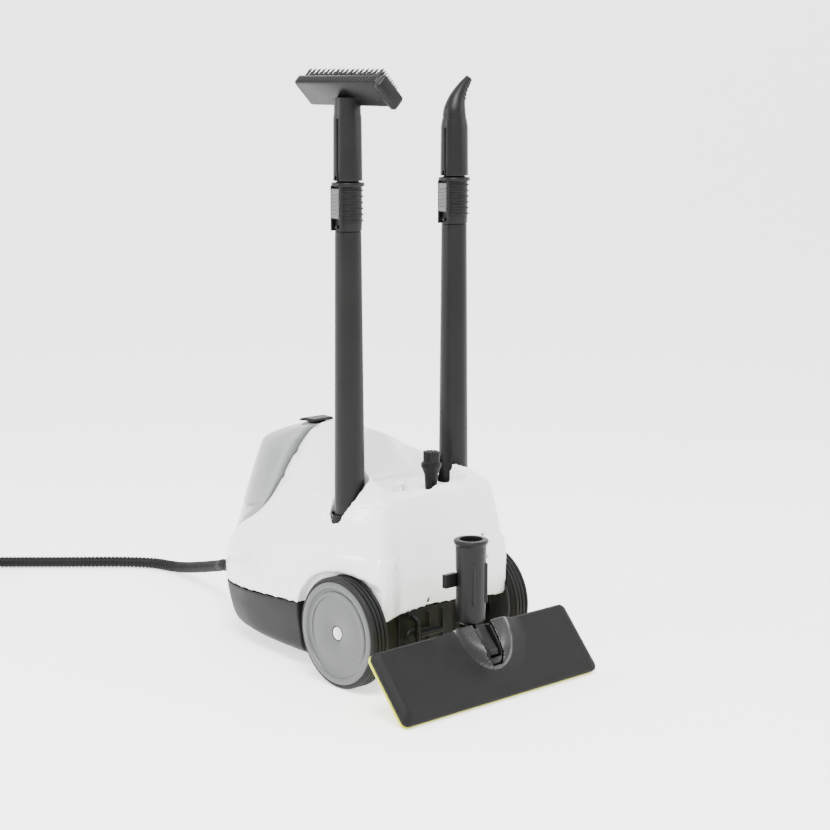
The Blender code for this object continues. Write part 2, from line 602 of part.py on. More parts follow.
def extension_tubes():
    for side, hand in ((1, "left"), (-1, "right")):
        at = (side * TUBE_X, TUBE_Y, 0)
        turned(f"extension_tube_{hand}", [
            (11.4, TUBE_TOP_Z), (11.6, TOOL_Z), (13.4, TOOL_Z - 1), (13.4,
                                                                     COLLAR_Z - 4), (TUBE_NECK_RADIUS,
                                                                                     COLLAR_Z - 4.5),
            (TUBE_FOOT_RADIUS, TUBE_FOOT_Z), (9, TUBE_FOOT_Z), (9, TUBE_TOP_Z)], SATIN, at, sides=20)
        outer = [(15.4, TOOL_Z - 1.4), (18.6, TOOL_Z - 2.4), (18.6, TOOL_Z - 5.6), (17.4, TOOL_Z - 7),
                 (17.4, COLLAR_Z)]
        collar = turned(f"tube_collar_{hand}", [*outer, (15.6, COLLAR_Z - 3.5), (13.7, COLLAR_Z - 3.5),
                                                (13.7, TOOL_Z - 1.4)], SATIN, at, sides=18)
        cut(collar, box(f"slider_slot_{hand}", (side * TUBE_X + 14.9, TUBE_Y - 6.8, COLLAR_Z - 1),
                        (side * TUBE_X + 25, TUBE_Y + 6.8, TOOL_Z - 6.8), SATIN))
        box(f"tube_release_{hand}", (side * TUBE_X + 15.2, TUBE_Y - 6.3, COLLAR_Z + 10),
            (side * TUBE_X + 20.4, TUBE_Y + 6.3, TOOL_Z - 8), SLIDER_GREY, bevel=1)


def sleeve(name, at, top):
    return turned(name, [(14, top), (16.2, top - 6), (16.6, TOOL_Z + 0.4), (12, TOOL_Z + 0.4),
                         (12, TUBE_TOP_Z + 4),
                         (8, TUBE_TOP_Z + 8), (8, top)], SATIN, at, sides=18)


BRUSH_TURN = (0, math.radians(-45), 0)
BRUSH_HEAD_Z = 676.0


def hand_brush():
    place = empty("brush_place", (TUBE_X, TUBE_Y, BRUSH_HEAD_Z), BRUSH_TURN)
    body = sleeve("hand_brush", (TUBE_X, TUBE_Y, 0), 655)
    head = box("brush_head", (-19, -74, -12), (19, 66, 6), SATIN, place, bevel=3)
    neck = cylinder("brush_neck", 15.5, 640, 668, (TUBE_X, TUBE_Y, 0), SATIN, top_radius=15)
    fuse(body, neck, head)
    cut(body, cylinder("brush_bore", 8, 600, 662, (TUBE_X, TUBE_Y, 0), SATIN, sides=16))
    box("hand_brush_cap", (-19, 66.3, -12), (19, 76, 6), SATIN, place, bevel=3)
    box("hand_brush_bristles", (-17.5, -72, 6.3), (17.5, 64, 18), BRISTLE, place)


def detail_nozzle():
    at = Vector((-TUBE_X, TUBE_Y, 0))
    body = sleeve("detail_nozzle", at, 642)
    bend = [((0, 641), 14.5, 0), ((0, 652), 13.5, 4), ((-3, 663), 11, 18), ((-8, 672), 8.6, 32),
            ((-15, 681), 6.4, 42),
            ((-22, 687.5), 5.2, 48)]
    rings = []
    for (x, z), radius, lean in bend:
        tilt = Matrix.Rotation(math.radians(-lean), 3, "Y")
        rings.append([Vector((x, 0, z)) + tilt @ Vector((radius * math.cos(a), radius * math.sin(a), 0))
                      for a in (2 * math.pi * k / 18 for k in range(18))])
    fuse(body, loft("nozzle_bend", rings, SATIN, at=at))
    cut(body, cylinder("nozzle_bore", 8, 600, 650, at, SATIN, sides=16))


def round_brush():
    at = (-19, 4, 0)
    turned("round_brush", [(8, 246), (11.5, 246), (12, 240), (8, 231), (7, BAY_FLOOR_Z + 0.5),
                           (4.6, BAY_FLOOR_Z + 0.5),
                           (4.6, 228), (8, 240)], BLACK, at, sides=24)
    turned("round_brush_bristles", [(0, 259), (10.5, 259), (10, 246.4), (0, 246.4)], BRISTLE, at, sides=20)


def floor_nozzle():
    """Floor nozzle parked on its lower edge, leaning on the rear cover by its upright socket."""
    plate = empty("plate_place", (NOZZLE_X, *NOZZLE_EDGE), (NOZZLE_TILT, 0, 0))
    width, depth = NOZZLE_HALF_WIDTH, NOZZLE_DEPTH

    def ring(inset_x, inset_top, inset_bottom, height, radius):
        outline = rounded_rectangle(width - inset_x, inset_top, depth - inset_bottom, radius)
        return [(x, y, height) for x, y in outline]

    sole = loft("floor_nozzle", [ring(1, 1, 1, 0, 8), ring(0, 0, 0, 2, 8), ring(0, 0, 0, 5, 8),
                                 ring(9, 4, 13, 11, 5)],
                CHARCOAL, plate)
    dome = [(0, 62, 30, 9), (1, 58, 27, 15), (2, 49, 22, 20), (4, 34, 14, 24)]
    rings = []
    for inset, half, reach, height in dome:
        rings.append([(half * 1.12 * math.cos(a),
                       26 + (reach + 14 if math.sin(a) > 0 else 24 - inset) * math.sin(a), height)
                      for a in (2 * math.pi * k / 24 for k in range(24))])
    fuse(sole, loft("nozzle_dome", rings, CHARCOAL, plate))
    pocket = turned("yoke_pocket", [(0, 56), (11, 54.5), (17.5, 44), (20.2, 26), (20.8, 9), (20.8, -20),
                                    (0, -20)],
                    CHARCOAL, (0, 0, YOKE_AXIS_H), "Y", plate, sides=20)
    cut(pocket, box("pocket_floor", (-60, -60, -60), (60, 90, 1.4), CHARCOAL, plate))
    cut(sole, pocket)
    yoke = turned("nozzle_yoke", [(0, 54), (10, 52.5), (16.5, 42.5), (19.2, 26), (19.8, 9.5), (0, 9.5)],
                  SATIN,
                  (0, 0, YOKE_AXIS_H), "Y", plate, sides=20)
    cut(yoke, box("yoke_underside", (-60, -60, -60), (60, 90, YOKE_AXIS_H), SATIN, plate))
    cut(yoke, box("yoke_slot", (-8.5, -30, PIVOT_H - 6.3), (8.5, 47, 60), SATIN, plate))
    cut(yoke, box("yoke_mouth", (-8.5, -30, 0), (8.5, 37, 60), SATIN, plate))
    loft("floor_cloth", [ring(1.5, 1.5, 1.5, -4, 8), ring(0, 0, 0, -2.8, 8), ring(0, 0, 0, -0.3, 8)],
         CLOTH, plate)
    socket_at = (NOZZLE_X, SOCKET_Y, 0)
    socket = turned("nozzle_socket", [(17, 177), (20, 175.5), (20, 173), (17.6, 170), (17, 100),
                                      (16.5, 80), (0, 80),
                                      (0, 96), (13, 96), (13.4, 177)], SATIN, socket_at, sides=22)
    slope = math.radians(-43)
    finger = prism("socket_finger", [(-6, 8), (6, 8), (36, 6), (47.5, 5.2), (52, 2), (52, -2),
                                     (47.5, -5.2), (36, -5.2),
                                     (8, -6), (-6, -2)], -6.5, 6.5, SATIN, at=(NOZZLE_X, SOCKET_Y, 84),
                   turn=(slope, 0, 0))
    fuse(socket, finger)
    cut(socket, box("latch_slot", (NOZZLE_X + 9, SOCKET_Y - 16, 121), (NOZZLE_X + 40, SOCKET_Y - 5, 140),
                    SATIN))
    box("socket_latch", (NOZZLE_X + 13, SOCKET_Y - 14, 122.5), (NOZZLE_X + 32, SOCKET_Y - 7, 138.5),
        BLACK, bevel=1.5)


def steam_hose():
    """Corrugated steam hose as a plain tube, and its coil as a plain ring."""
    hose = rod("hose_tube", HOSE_ROUTE, HOSE_RADIUS, RUBBER, steps=3, sides_level=2)
    centre = (*COIL_CENTRE, 0)
    outer, inner = COIL_RADIUS + 2 * HOSE_RADIUS, COIL_RADIUS - 2 * HOSE_RADIUS
    height = 3.75 * HOSE_RADIUS
    cut(hose, cylinder("coil_edge", outer + GAP, -10, 60, centre, RUBBER, sides=48))
    turned("hose_coil", [(outer - 8, height), (outer, height / 2), (outer, 6), (outer - 5, 0.3),
                         (inner + 5, 0.3), (inner, 6),
                         (inner, height / 2), (inner + 8, height)], RUBBER, centre, sides=36)
    rod("hose_tie", [(centre[0] + x, centre[1], z) for x, z in TIE], 1.6, RUBBER)
    turned("hose_relief", [(8, 20), (9.2, 20), (13, 0.3), (8, 0.3)], RUBBER, (24, -314, 62), sides=20,
           turn=(math.pi / 2, 0, 0))


GUN_PLACE = (266.0, -832.0, 49.0)


def steam_gun():
    """Steam gun lying on its side across the coil."""
    place = empty("gun_place", GUN_PLACE, (0, 0, math.pi))
    outline = [(-78, 12), (-60, 22), (20, 25), (58, 18), (72, 4), (66, -8), (40, -14), (30, -24),
               (36, -52), (50, -86),
               (46, -96), (20, -98), (14, -88), (6, -50), (-2, -22), (-14, -14), (-78, -12)]
    body = prism("gun_body", outline, -17, 17, SATIN, axis="Z", parent=place)
    cut(body, prism("trigger_slot", [(-16, -12), (0, -14), (12, -40), (22, -86), (8, -86), (-20, -40)],
                    -8.5, 8.5, SATIN,
                    axis="Z", parent=place))
    turned("gun_nozzle", [(11, 26), (13, 24), (15, 0.4), (8, 0.4), (8, 26)], BLACK, (-78, 0, 0),
           parent=place, sides=24,
           turn=(0, -math.pi / 2, 0))
    prism("gun_trigger", [(-7, -21), (-3.5, -24.5), (4.5, -52), (11.5, -82), (4, -80), (-6, -52),
                          (-14, -17)], -8, 8,
          GREY, axis="Z", parent=place)


def main():
    housing()
    running_gear()
    caster()
    water_tank()
    steam_works()
    switch_and_lamp()
    glands()
    extension_tubes()
    hand_brush()
    detail_nozzle()
    round_brush()
    floor_nozzle()
    steam_hose()
    steam_gun()


main()
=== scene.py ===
import math

import bmesh
import bpy
from mathutils import Matrix, Vector


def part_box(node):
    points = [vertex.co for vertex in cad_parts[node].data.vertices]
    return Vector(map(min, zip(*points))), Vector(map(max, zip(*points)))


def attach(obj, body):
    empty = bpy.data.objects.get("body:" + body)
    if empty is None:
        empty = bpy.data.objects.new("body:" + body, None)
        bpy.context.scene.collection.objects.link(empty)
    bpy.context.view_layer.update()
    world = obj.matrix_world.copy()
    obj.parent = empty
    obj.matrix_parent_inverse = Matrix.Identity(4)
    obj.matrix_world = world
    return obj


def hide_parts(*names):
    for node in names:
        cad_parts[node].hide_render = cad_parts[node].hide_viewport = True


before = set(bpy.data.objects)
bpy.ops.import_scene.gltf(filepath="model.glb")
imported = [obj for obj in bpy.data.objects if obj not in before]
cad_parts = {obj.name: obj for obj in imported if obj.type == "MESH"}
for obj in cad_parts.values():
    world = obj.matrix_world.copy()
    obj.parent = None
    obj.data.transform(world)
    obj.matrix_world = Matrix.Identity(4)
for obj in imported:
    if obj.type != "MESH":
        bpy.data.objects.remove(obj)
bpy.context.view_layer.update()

# ---- camera and room -----------------------------------------------------------------------
# A long lens looks slightly down at the rear left corner of the machine, which stands on a
# pale seamless floor under large soft lights.

eye = bpy.data.objects.new("camera", bpy.data.cameras.new("camera"))
bpy.context.collection.objects.link(eye)
eye.location = (1.4692, 1.6980, 0.6980)
eye.rotation_euler = (math.radians(90 - 10.175), 0, math.radians(137.65))
eye.data.lens = 83.36
eye.data.sensor_width = 36.0
bpy.context.scene.camera = eye

away = Vector((-0.654, -0.756, 0))
across = Vector((0.756, -0.654, 0))
sweep = [(-9, 0), (2.4, 0)] + [(2.4 + 1.5 * math.sin(a),
                                1.5 - 1.5 * math.cos(a)) for a in (math.pi / 24 * k for k in range(1, 13))]
sweep.append((3.9, 9))
floor = bpy.data.meshes.new("floor")
floor.from_pydata([away * s + across * t + Vector((0, 0, z)) for s, z in sweep for t in (-9, 9)], [],
                  [(2 * k, 2 * k + 1, 2 * k + 3, 2 * k + 2) for k in range(len(sweep) - 1)])
floor.shade_smooth()
floor = bpy.data.objects.new("floor", floor)
bpy.context.collection.objects.link(floor)
pale = bpy.data.materials.new("pale_floor")
pale.use_nodes = True
pale.node_tree.nodes["Principled BSDF"].inputs["Base Color"].default_value = (0.86, 0.86, 0.86, 1)
pale.node_tree.nodes["Principled BSDF"].inputs["Roughness"].default_value = 0.8
pale.node_tree.nodes["Principled BSDF"].inputs["Emission Color"].default_value = (1, 1, 1, 1)
pale.node_tree.nodes["Principled BSDF"].inputs["Emission Strength"].default_value = 1.3
floor.data.materials.append(pale)

sky = bpy.context.scene.world or bpy.data.worlds.new("sky")
bpy.context.scene.world = sky
sky.use_nodes = True
sky.node_tree.nodes["Background"].inputs["Color"].default_value = (1, 1, 1, 1)
sky.node_tree.nodes["Background"].inputs["Strength"].default_value = 1.3


def soft_light(name, place, aim, size, watts):
    lamp = bpy.data.objects.new(name, bpy.data.lights.new(name, "AREA"))
    bpy.context.collection.objects.link(lamp)
    lamp.location = place
    lamp.rotation_euler = (Vector(aim) - Vector(place)).to_track_quat("-Z", "Y").to_euler()
    lamp.data.size = size
    lamp.data.energy = watts


soft_light("key_light", (0.9, 0.9, 2.4), (0, 0, 0.2), 1.2, 150)
soft_light("left_strip", (1.9, -1.2, 1.1), (0, 0, 0.3), 0.8, 45)
soft_light("right_strip", (-1.6, 1.6, 1.2), (0, 0, 0.3), 0.8, 22)

# ---- steam hose ----------------------------------------------------------------------------
# A corrugated rubber hose with round ribs, extruded and then blow-moulded into its ribs. It
# leaves the front through a tapered sleeve, lies along the floor, and is wound up at its far
# end, where the last turn rises into the steam gun.

axle_low, axle_high = (Vector(corner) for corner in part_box("wheel_axle"))
MACHINE = Vector(((axle_low.x + axle_high.x) / 2, (axle_low.y + axle_high.y) / 2, 0))


def at(x, y, z=0.0):
    """A place in metres from millimetres in the machine's own frame: wheel axle, middle, floor."""
    return MACHINE + Vector((x, y, z)) * 0.001


def spline(points, steps, closed=False):
    """Points on a smooth curve through the given ones."""
    points = [Vector(p) for p in points]
    before = points[-1] if closed else 2 * points[0] - points[1]
    after = [points[0], points[1]] if closed else [2 * points[-1] - points[-2]]
    line = [before, *points, *after]
    out = []
    for i in range(1, len(line) - 2):
        a, b, c, d = line[i - 1:i + 3]
        for k in range(steps):
            t = k / steps
            out.append(0.5 * (2 * b + (c - a) * t + (2 * a - 5 * b + 4 * c - d) * t ** 2
                              + (3 * b - a - 3 * c + d) * t ** 3))
    return out if closed else out + [points[-1]]


def spaced(line, pitch):
    """Points at even distances along a line."""
    out, travelled, wanted = [line[0]], 0.0, pitch
    for a, b in zip(line, line[1:]):
        step = (b - a).length
        while step > 0 and travelled + step >= wanted:
            out.append(a.lerp(b, (wanted - travelled) / step))
            wanted += pitch
        travelled += step
    return out


def new_piece(name, form, material, angle=35):
    """A shown object from a finished bmesh, its faces pointing out."""
    bmesh.ops.recalc_face_normals(form, faces=form.faces)
    data = bpy.data.meshes.new(name)
    form.to_mesh(data)
    form.free()
    data.shade_smooth()
    data.set_sharp_from_angle(angle=math.radians(angle))
    data.materials.append(material)
    made = bpy.data.objects.new(name, data)
    bpy.context.collection.objects.link(made)
    return made


def skin_rows(form, rows, capped=True):
    """Quads between rows of points, each row closed on itself, with caps at both ends."""
    rows = [[form.verts.new(p) for p in row] for row in rows]
    for row, above in zip(rows, rows[1:]):
        for i in range(len(row)):
            j = (i + 1) % len(row)
            form.faces.new((row[i], row[j], above[j], above[i]))
    if capped:
        form.faces.new(list(reversed(rows[0])))
        form.faces.new(rows[-1])
    return rows


def swept(name, path, radii, material, sides=16):
    """A round tube along a path, with a radius for each of its points."""
    tangents = [(b - a).normalized() for a, b in zip([path[0], *path[:-1]], [*path[1:], path[-1]])]
    side = tangents[0].orthogonal().normalized()
    rows = []
    for centre, tangent, radius in zip(path, tangents, radii):
        side = (side - tangent * side.dot(tangent)).normalized()
        other = tangent.cross(side)
        rows.append([centre + (side * math.cos(a) + other * math.sin(a)) * radius
                     for a in (2 * math.pi * k / sides for k in range(sides))])
    form = bmesh.new()
    skin_rows(form, rows)
    return new_piece(name, form, material, 50)


def surface_group():
    """Moulded plastic or rubber: fine grain, faint flow clouds and a roughness that follows them."""
    group = bpy.data.node_groups.new("moulded_surface", "ShaderNodeTree")
    for name, kind in (("Grain", "NodeSocketFloat"), ("Clouds", "NodeSocketFloat"),
                       ("Light", "NodeSocketColor"),
                       ("Dark", "NodeSocketColor"), ("Smooth", "NodeSocketFloat"),
                       ("Rough", "NodeSocketFloat")):
        group.interface.new_socket(name, in_out="INPUT", socket_type=kind)
    for name, kind in (("Colour", "NodeSocketColor"), ("Roughness", "NodeSocketFloat"),
                       ("Height", "NodeSocketFloat")):
        group.interface.new_socket(name, in_out="OUTPUT", socket_type=kind)
    node, wire = group.nodes.new, group.links.new
    given, out = node("NodeGroupInput"), node("NodeGroupOutput")
    where = node("ShaderNodeTexCoord")
    grain, clouds = node("ShaderNodeTexNoise"), node("ShaderNodeTexNoise")
    grain.inputs["Detail"].default_value = 3
    clouds.inputs["Detail"].default_value = 4
    wire(where.outputs["Object"], grain.inputs["Vector"])
    wire(where.outputs["Object"], clouds.inputs["Vector"])
    wire(given.outputs["Grain"], grain.inputs["Scale"])
    wire(given.outputs["Clouds"], clouds.inputs["Scale"])
    both = node("ShaderNodeMath")
    both.operation = "MULTIPLY_ADD"
    both.inputs[1].default_value = 0.45
    wire(grain.outputs["Fac"], both.inputs[0])
    half = node("ShaderNodeMath")
    half.operation = "MULTIPLY"
    half.inputs[1].default_value = 0.55
    wire(clouds.outputs["Fac"], half.inputs[0])
    wire(half.outputs[0], both.inputs[2])
    tint = node("ShaderNodeMix")
    tint.data_type = "RGBA"
    wire(both.outputs[0], tint.inputs["Factor"])
    wire(given.outputs["Dark"], tint.inputs["A"])
    wire(given.outputs["Light"], tint.inputs["B"])
    gloss = node("ShaderNodeMapRange")
    gloss.inputs["From Min"].default_value = 0.3
    gloss.inputs["From Max"].default_value = 0.7
    wire(both.outputs[0], gloss.inputs["Value"])
    wire(given.outputs["Smooth"], gloss.inputs["To Min"])
    wire(given.outputs["Rough"], gloss.inputs["To Max"])
    wire(tint.outputs["Result"], out.inputs["Colour"])
    wire(gloss.outputs["Result"], out.inputs["Roughness"])
    wire(grain.outputs["Fac"], out.inputs["Height"])
    return group


MOULDED = surface_group()


def moulded(name, dark, light, roughness, grain=1400, depth=0.00004, clouds=22, strength=0.5):
    """A material of the moulded surface, from its darkest to its lightest colour and gloss."""
    made = bpy.data.materials.new(name)
    made.use_nodes = True
    tree = made.node_tree
    shader = tree.nodes["Principled BSDF"]
    group = tree.nodes.new("ShaderNodeGroup")
    group.node_tree = MOULDED
    group.inputs["Grain"].default_value = grain
    group.inputs["Clouds"].default_value = clouds
    group.inputs["Dark"].default_value = (*dark, 1)
    group.inputs["Light"].default_value = (*light, 1)
    group.inputs["Smooth"].default_value = roughness[0]
    group.inputs["Rough"].default_value = roughness[1]
    bump = tree.nodes.new("ShaderNodeBump")
    bump.inputs["Strength"].default_value = strength
    bump.inputs["Distance"].default_value = depth
    tree.links.new(group.outputs["Colour"], shader.inputs["Base Color"])
    tree.links.new(group.outputs["Roughness"], shader.inputs["Roughness"])
    tree.links.new(group.outputs["Height"], bump.inputs["Height"])
    tree.links.new(bump.outputs["Normal"], shader.inputs["Normal"])
    return made


def shader_of(material):
    return material.node_tree.nodes["Principled BSDF"]


def muted(material, level=0.12):
    """The same material with the weak reflections of a coarse dark surface."""
    shader_of(material).inputs["Specular IOR Level"].default_value = level
    return material


hose_rubber = muted(moulded("hose_rubber", (0.003, 0.003, 0.003), (0.008, 0.008, 0.008), (0.38, 0.55), 900))

HOSE_RADIUS = 7.75
COIL_CENTRE = Vector((283.0, -755.0))
COIL_RADIUS = 88.0
LAYER_RISE = HOSE_RADIUS * math.sqrt(3)
RIB_PITCH = 5.6
GUN_HEIGHT = 49.0
HOSE_ROUTE = [
    (24, -318, 62),
    (24, -334.5, 62),
    (23.5, -343, 61.6),
    (19, -356, 59),
    (-2, -391, 47.5),
    (-15, -432, 36),
    (-26, -476, 24.5),
    (-35, -518, 14.5),
    (-38, -550, 9.2),
    (-28, -590, 8.2),
    (4, -628, 8.2),
    (60, -678, 8.2),
    (120, -732, 8.2),
    (176, -783, 8.2),
]


def eased(value):
    value = min(max(value, 0.0), 1.0)
    return value * value * (3 - 2 * value)


def coil_point(turned):
    """Where the hose lies after so many degrees in the coil: outer turn, inner turn, upper turn."""
    angle = math.radians(turned - 127.6)
    inward = eased((turned - 300) / 60)
    risen = eased((turned - 600) / 36)
    outward = eased((turned - 630) / 36)
    radius = COIL_RADIUS + HOSE_RADIUS * (1 - 2 * inward + outward)
    height = HOSE_RADIUS + 0.4 + LAYER_RISE * risen
    return (COIL_CENTRE.x + radius * math.cos(angle), COIL_CENTRE.y + radius * math.sin(angle), height)


def lead_point(turned):
    """Where the last stretch lies, on its own smaller arc up into the gun's handle."""
    angle = math.radians(turned)
    height = HOSE_RADIUS + 0.4 + LAYER_RISE
    height += (GUN_HEIGHT - height) * eased((turned - 66) / 100)
    return (COIL_CENTRE.x + 12 + 62 * math.cos(angle), COIL_CENTRE.y + 20 + 62 * math.sin(angle), height)


route = HOSE_ROUTE + [coil_point(a) for a in range(0, 890, 15)]
route += [lead_point(a) for a in range(74, 181, 15)]
hose_line = spline([at(*p) for p in route], 10)
hose_path = spaced(hose_line, RIB_PITCH / 4 * 0.001)
rib = (HOSE_RADIUS, HOSE_RADIUS, HOSE_RADIUS - 1.1, HOSE_RADIUS - 1.1)
hose = swept("steam_hose", hose_path, [rib[i % 4] * 0.001 for i in range(len(hose_path))], hose_rubber)
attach(hose, "root")
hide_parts("hose_tube", "hose_coil")


def turned_piece(name, profile, material, place, axis, sides=48, angle=35):
    """A turned piece: (radius, height) down its outer side, in millimetres, along an axis."""
    turn = Vector((0, 0, 1)).rotation_difference(Vector(axis)).to_matrix()
    form = bmesh.new()
    rows = []
    for k in range(sides):
        a = 2 * math.pi * k / sides
        rows.append([place + turn @ Vector((r * math.cos(a), r * math.sin(a), z)) * 0.001 for r,
                     z in profile])
    rows = [[form.verts.new(p) for p in row] for row in rows]
    count = len(profile)
    for k in range(sides):
        row, other = rows[k], rows[(k + 1) % sides]
        for i in range(count):
            j = (i + 1) % count
            if profile[i][0] > 0 or profile[j][0] > 0:
                form.faces.new((row[i], row[j], other[j], other[i]))
    bmesh.ops.remove_doubles(form, verts=form.verts, dist=1e-7)
    return new_piece(name, form, material, angle)


relief_profile = [(8.1, 20.0), (9.0, 20.0)]
for step in range(4):
    z = 17.5 - 4.2 * step
    relief_profile += [(9.4 + 0.9 * step, z + 0.9), (8.8 + 0.8 * step, z - 0.3),
                       (8.8 + 0.8 * step, z - 1.6),
                       (10.0 + 0.9 * step, z - 2.4)]
relief_profile += [(13.0, 1.6), (13.0, 0.4), (8.1, 0.4)]
relief = turned_piece("hose_sleeve", relief_profile, hose_rubber, at(24, -314, 62), (0, -1, 0))
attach(relief, "root")
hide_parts("hose_relief")

TIE_LINE = [(-108, 4), (-109, 16), (-105, 29), (-96, 33.5), (-88, 34.5), (-80, 33.5), (-71, 29),
            (-67, 16), (-68, 4)]
tie_path = spline([at(COIL_CENTRE.x + x, COIL_CENTRE.y, z) for x, z in TIE_LINE], 8)
tie = swept("coil_tie", tie_path, [0.0016] * len(tie_path), hose_rubber, 12)
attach(tie, "root")
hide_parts("hose_tie")

# ---- white shell ---------------------------------------------------------------------------
# The upper shell is one glossy injection-moulded cover in white ABS, about 3 mm thick, with
# rounded edges. A raised band follows the wheel arches and the rear, a shoulder runs along each
# side, and a shallow oval panel lies in each flank of the crest.

white_gloss = moulded("white_gloss", (0.74, 0.745, 0.755), (0.79, 0.795, 0.8), (0.2, 0.3), 260, 0.00002,
                      9, 0.2)
shader_of(white_gloss).inputs["Coat Weight"].default_value = 0.35
shader_of(white_gloss).inputs["Coat Roughness"].default_value = 0.12

HOUSING = [
    (15, [(0, -262), (42, -256), (72, -232), (84, -195), (90, -150), (93, -90), (93, -20), (90, 16),
          (50, 21), (0, 21)]),
    (24, [(0, -290), (44, -282), (76, -252), (92, -205), (99, -150), (102, -90), (102, -20), (95, 17),
          (50, 22), (0, 22)]),
    (44, [(0, -302), (45, -294), (80, -258), (96, -212), (103, -150), (106, -85), (105, -15), (97, 19),
          (50, 23), (0, 23)]),
    (62, [(0, -310), (45, -302), (79, -265), (98, -212), (106, -150), (109, -85), (109, -12), (100, 30),
          (50, 24), (0, 24)]),
    (80, [(0, -313), (45, -305), (79, -267), (99, -212), (107, -150), (110, -85), (110, -8), (99, 44),
          (52, 32), (0, 24)]),
    (110, [(0, -312), (45, -303), (78, -265), (98, -211), (107, -150), (110, -85), (110, -6), (98, 48),
           (52, 33), (0, 24)]),
    (140, [(0, -290), (41, -282), (74, -248), (94, -203), (104, -150), (109, -85), (109, -5), (96, 47),
           (52, 32), (0, 24)]),
    (160, [(0, -262), (38, -254), (68, -222), (86, -190), (99, -150), (107, -85), (108, -4), (94, 44),
           (52, 31), (0, 24)]),
    (180, [(0, -245), (34, -237), (60, -205), (73, -180), (86, -145), (101, -85), (106, -5), (92, 41),
           (51, 30), (0, 24)]),
    (200, [(0, -235), (31, -227), (53, -197), (62, -172), (70, -140), (86, -85), (102, -10), (90, 38),
           (50, 29), (0, 24)]),
    (216, [(0, -226), (28, -218), (48, -190), (57, -167), (62, -137), (71, -85), (92, -15), (86, 35),
           (50, 28), (0, 24)]),
    (228, [(0, -218), (26, -210), (45, -184), (53, -162), (57, -133), (64, -85), (80, -15), (79, 14),
           (45, 12), (0, 12)]),
    (240, [(0, -209), (24, -202), (41, -177), (48, -156), (51, -130), (57, -85), (67, -36), (63, -16),
           (35, -18), (0, -18)]),
    (252, [(0, -200), (21, -193), (36, -170), (42, -151), (45, -127), (49, -90), (48, -60), (42, -48),
           (22, -50), (0, -50)]),
    (263, [(0, -190), (17, -184), (29, -165), (34, -147), (36, -125), (37, -100), (34, -84), (27, -76),
           (14, -76), (0, -76)]),
    (271, [(0, -178), (12, -173), (20, -158), (24, -144), (25, -128), (24, -112), (21, -104),
           (16, -100), (8, -99), (0, -99)]),
    (275, [(0, -162), (5, -160), (9, -153), (11, -146), (11, -138), (10, -130), (8, -126), (6, -124),
           (3, -124), (0, -124)]),
]
TANK_BACK = [(-400, 95), (-291, 95), (-284, 103), (-268, 122), (-245, 144), (-216, 162), (-203, 175),
             (-191, 196), (-179, 226), (-168, 258), (-160, 300), (-400, 300)]
ARCH = [(-90, -10), (-88, 79), (-79, 99), (-61, 117), (-36, 128), (0, 132), (36, 127), (54, 113),
        (62, 98), (70, 60), (70, -10)]
WALL = 3.0
TUBE_X, TUBE_Y = 82.0, -24.7
BAY_FLOOR = 213.0


def scrap(form, name="scrap"):
    """A workshop object that is used up while a piece is made."""
    bmesh.ops.recalc_face_normals(form, faces=form.faces)
    data = bpy.data.meshes.new(name)
    form.to_mesh(data)
    form.free()
    made = bpy.data.objects.new(name, data)
    bpy.context.collection.objects.link(made)
    return made


def outline_ring(half, inset, steps=6):
    """A whole outline from its half, smoothed, and made smaller by the inset on each side."""
    side = spline([(x, y, 0) for x, y in half], steps)
    ring = side + [Vector((-p.x, p.y, 0)) for p in side[-2:0:-1]]
    half_x = max(p.x for p in ring)
    low, high = min(p.y for p in ring), max(p.y for p in ring)
    middle, half_y = (low + high) / 2, (high - low) / 2
    return [Vector((p.x * (half_x - inset) / half_x,
                    middle + (p.y - middle) * (half_y - inset) / half_y, 0))
            for p in ring]


def stacked(table, inset=0.0, between=3):
    """A smooth closed body through half outlines at rising heights."""
    bottom, top = table[0][0], table[-1][0]
    rings = []
    for z, half in table:
        level = bottom + inset + (z - bottom) * (top - bottom - 2 * inset) / (top - bottom)
        rings.append([Vector((p.x, p.y, level)) for p in outline_ring(half, inset)])
    columns = [spline(column, between) for column in zip(*rings)]
    form = bmesh.new()
    skin_rows(form, [[at(*p) for p in row] for row in zip(*columns)])
    return scrap(form)


def side_prism(outline, low, high, plane="YZ"):
    """An outline seen from the side, from behind or from above, as a solid from low to high."""
    lift = {"YZ": lambda a, b, t: at(t, a, b), "XZ": lambda a, b, t: at(a, t, b), "XY": lambda a, b,
            t: at(a, b, t)}
    form = bmesh.new()
    skin_rows(form, [[lift[plane](a, b, t) for a, b in outline] for t in (low, high)])
    return scrap(form)


def drum(radius, place, axis, length, sides=48, end_radius=None):
    """A round cutter or boss, from a place and for a length along an axis."""
    turn = Vector((0, 0, 1)).rotation_difference(Vector(axis)).to_matrix()
    form = bmesh.new()
    rows = []
    for r, z in ((radius, 0), (end_radius or radius, length)):
        rows.append([at(*place) + turn @ Vector((r * math.cos(a), r * math.sin(a), z)) * 0.001
                     for a in (2 * math.pi * k / sides for k in range(sides))])
    skin_rows(form, rows)
    return scrap(form)


def block(low, high):
    return side_prism([(low[0], low[1]), (high[0], low[1]), (high[0], high[1]), (low[0], high[1])],
                      low[2], high[2], "XY")


def settled(target):
    """Applies all modifiers of a workshop object."""
    data = bpy.data.meshes.new_from_object(target.evaluated_get(bpy.context.evaluated_depsgraph_get()))
    target.modifiers.clear()
    target.data = data
    return target


def carve(target, *cutters, operation="DIFFERENCE"):
    """Cuts, joins or intersects workshop objects into one, and uses the others up."""
    for cutter in cutters:
        step = target.modifiers.new("carve", "BOOLEAN")
        step.operation = operation
        step.object = cutter
        bpy.context.view_layer.update()
        settled(target)
        bpy.data.objects.remove(cutter)
    return target


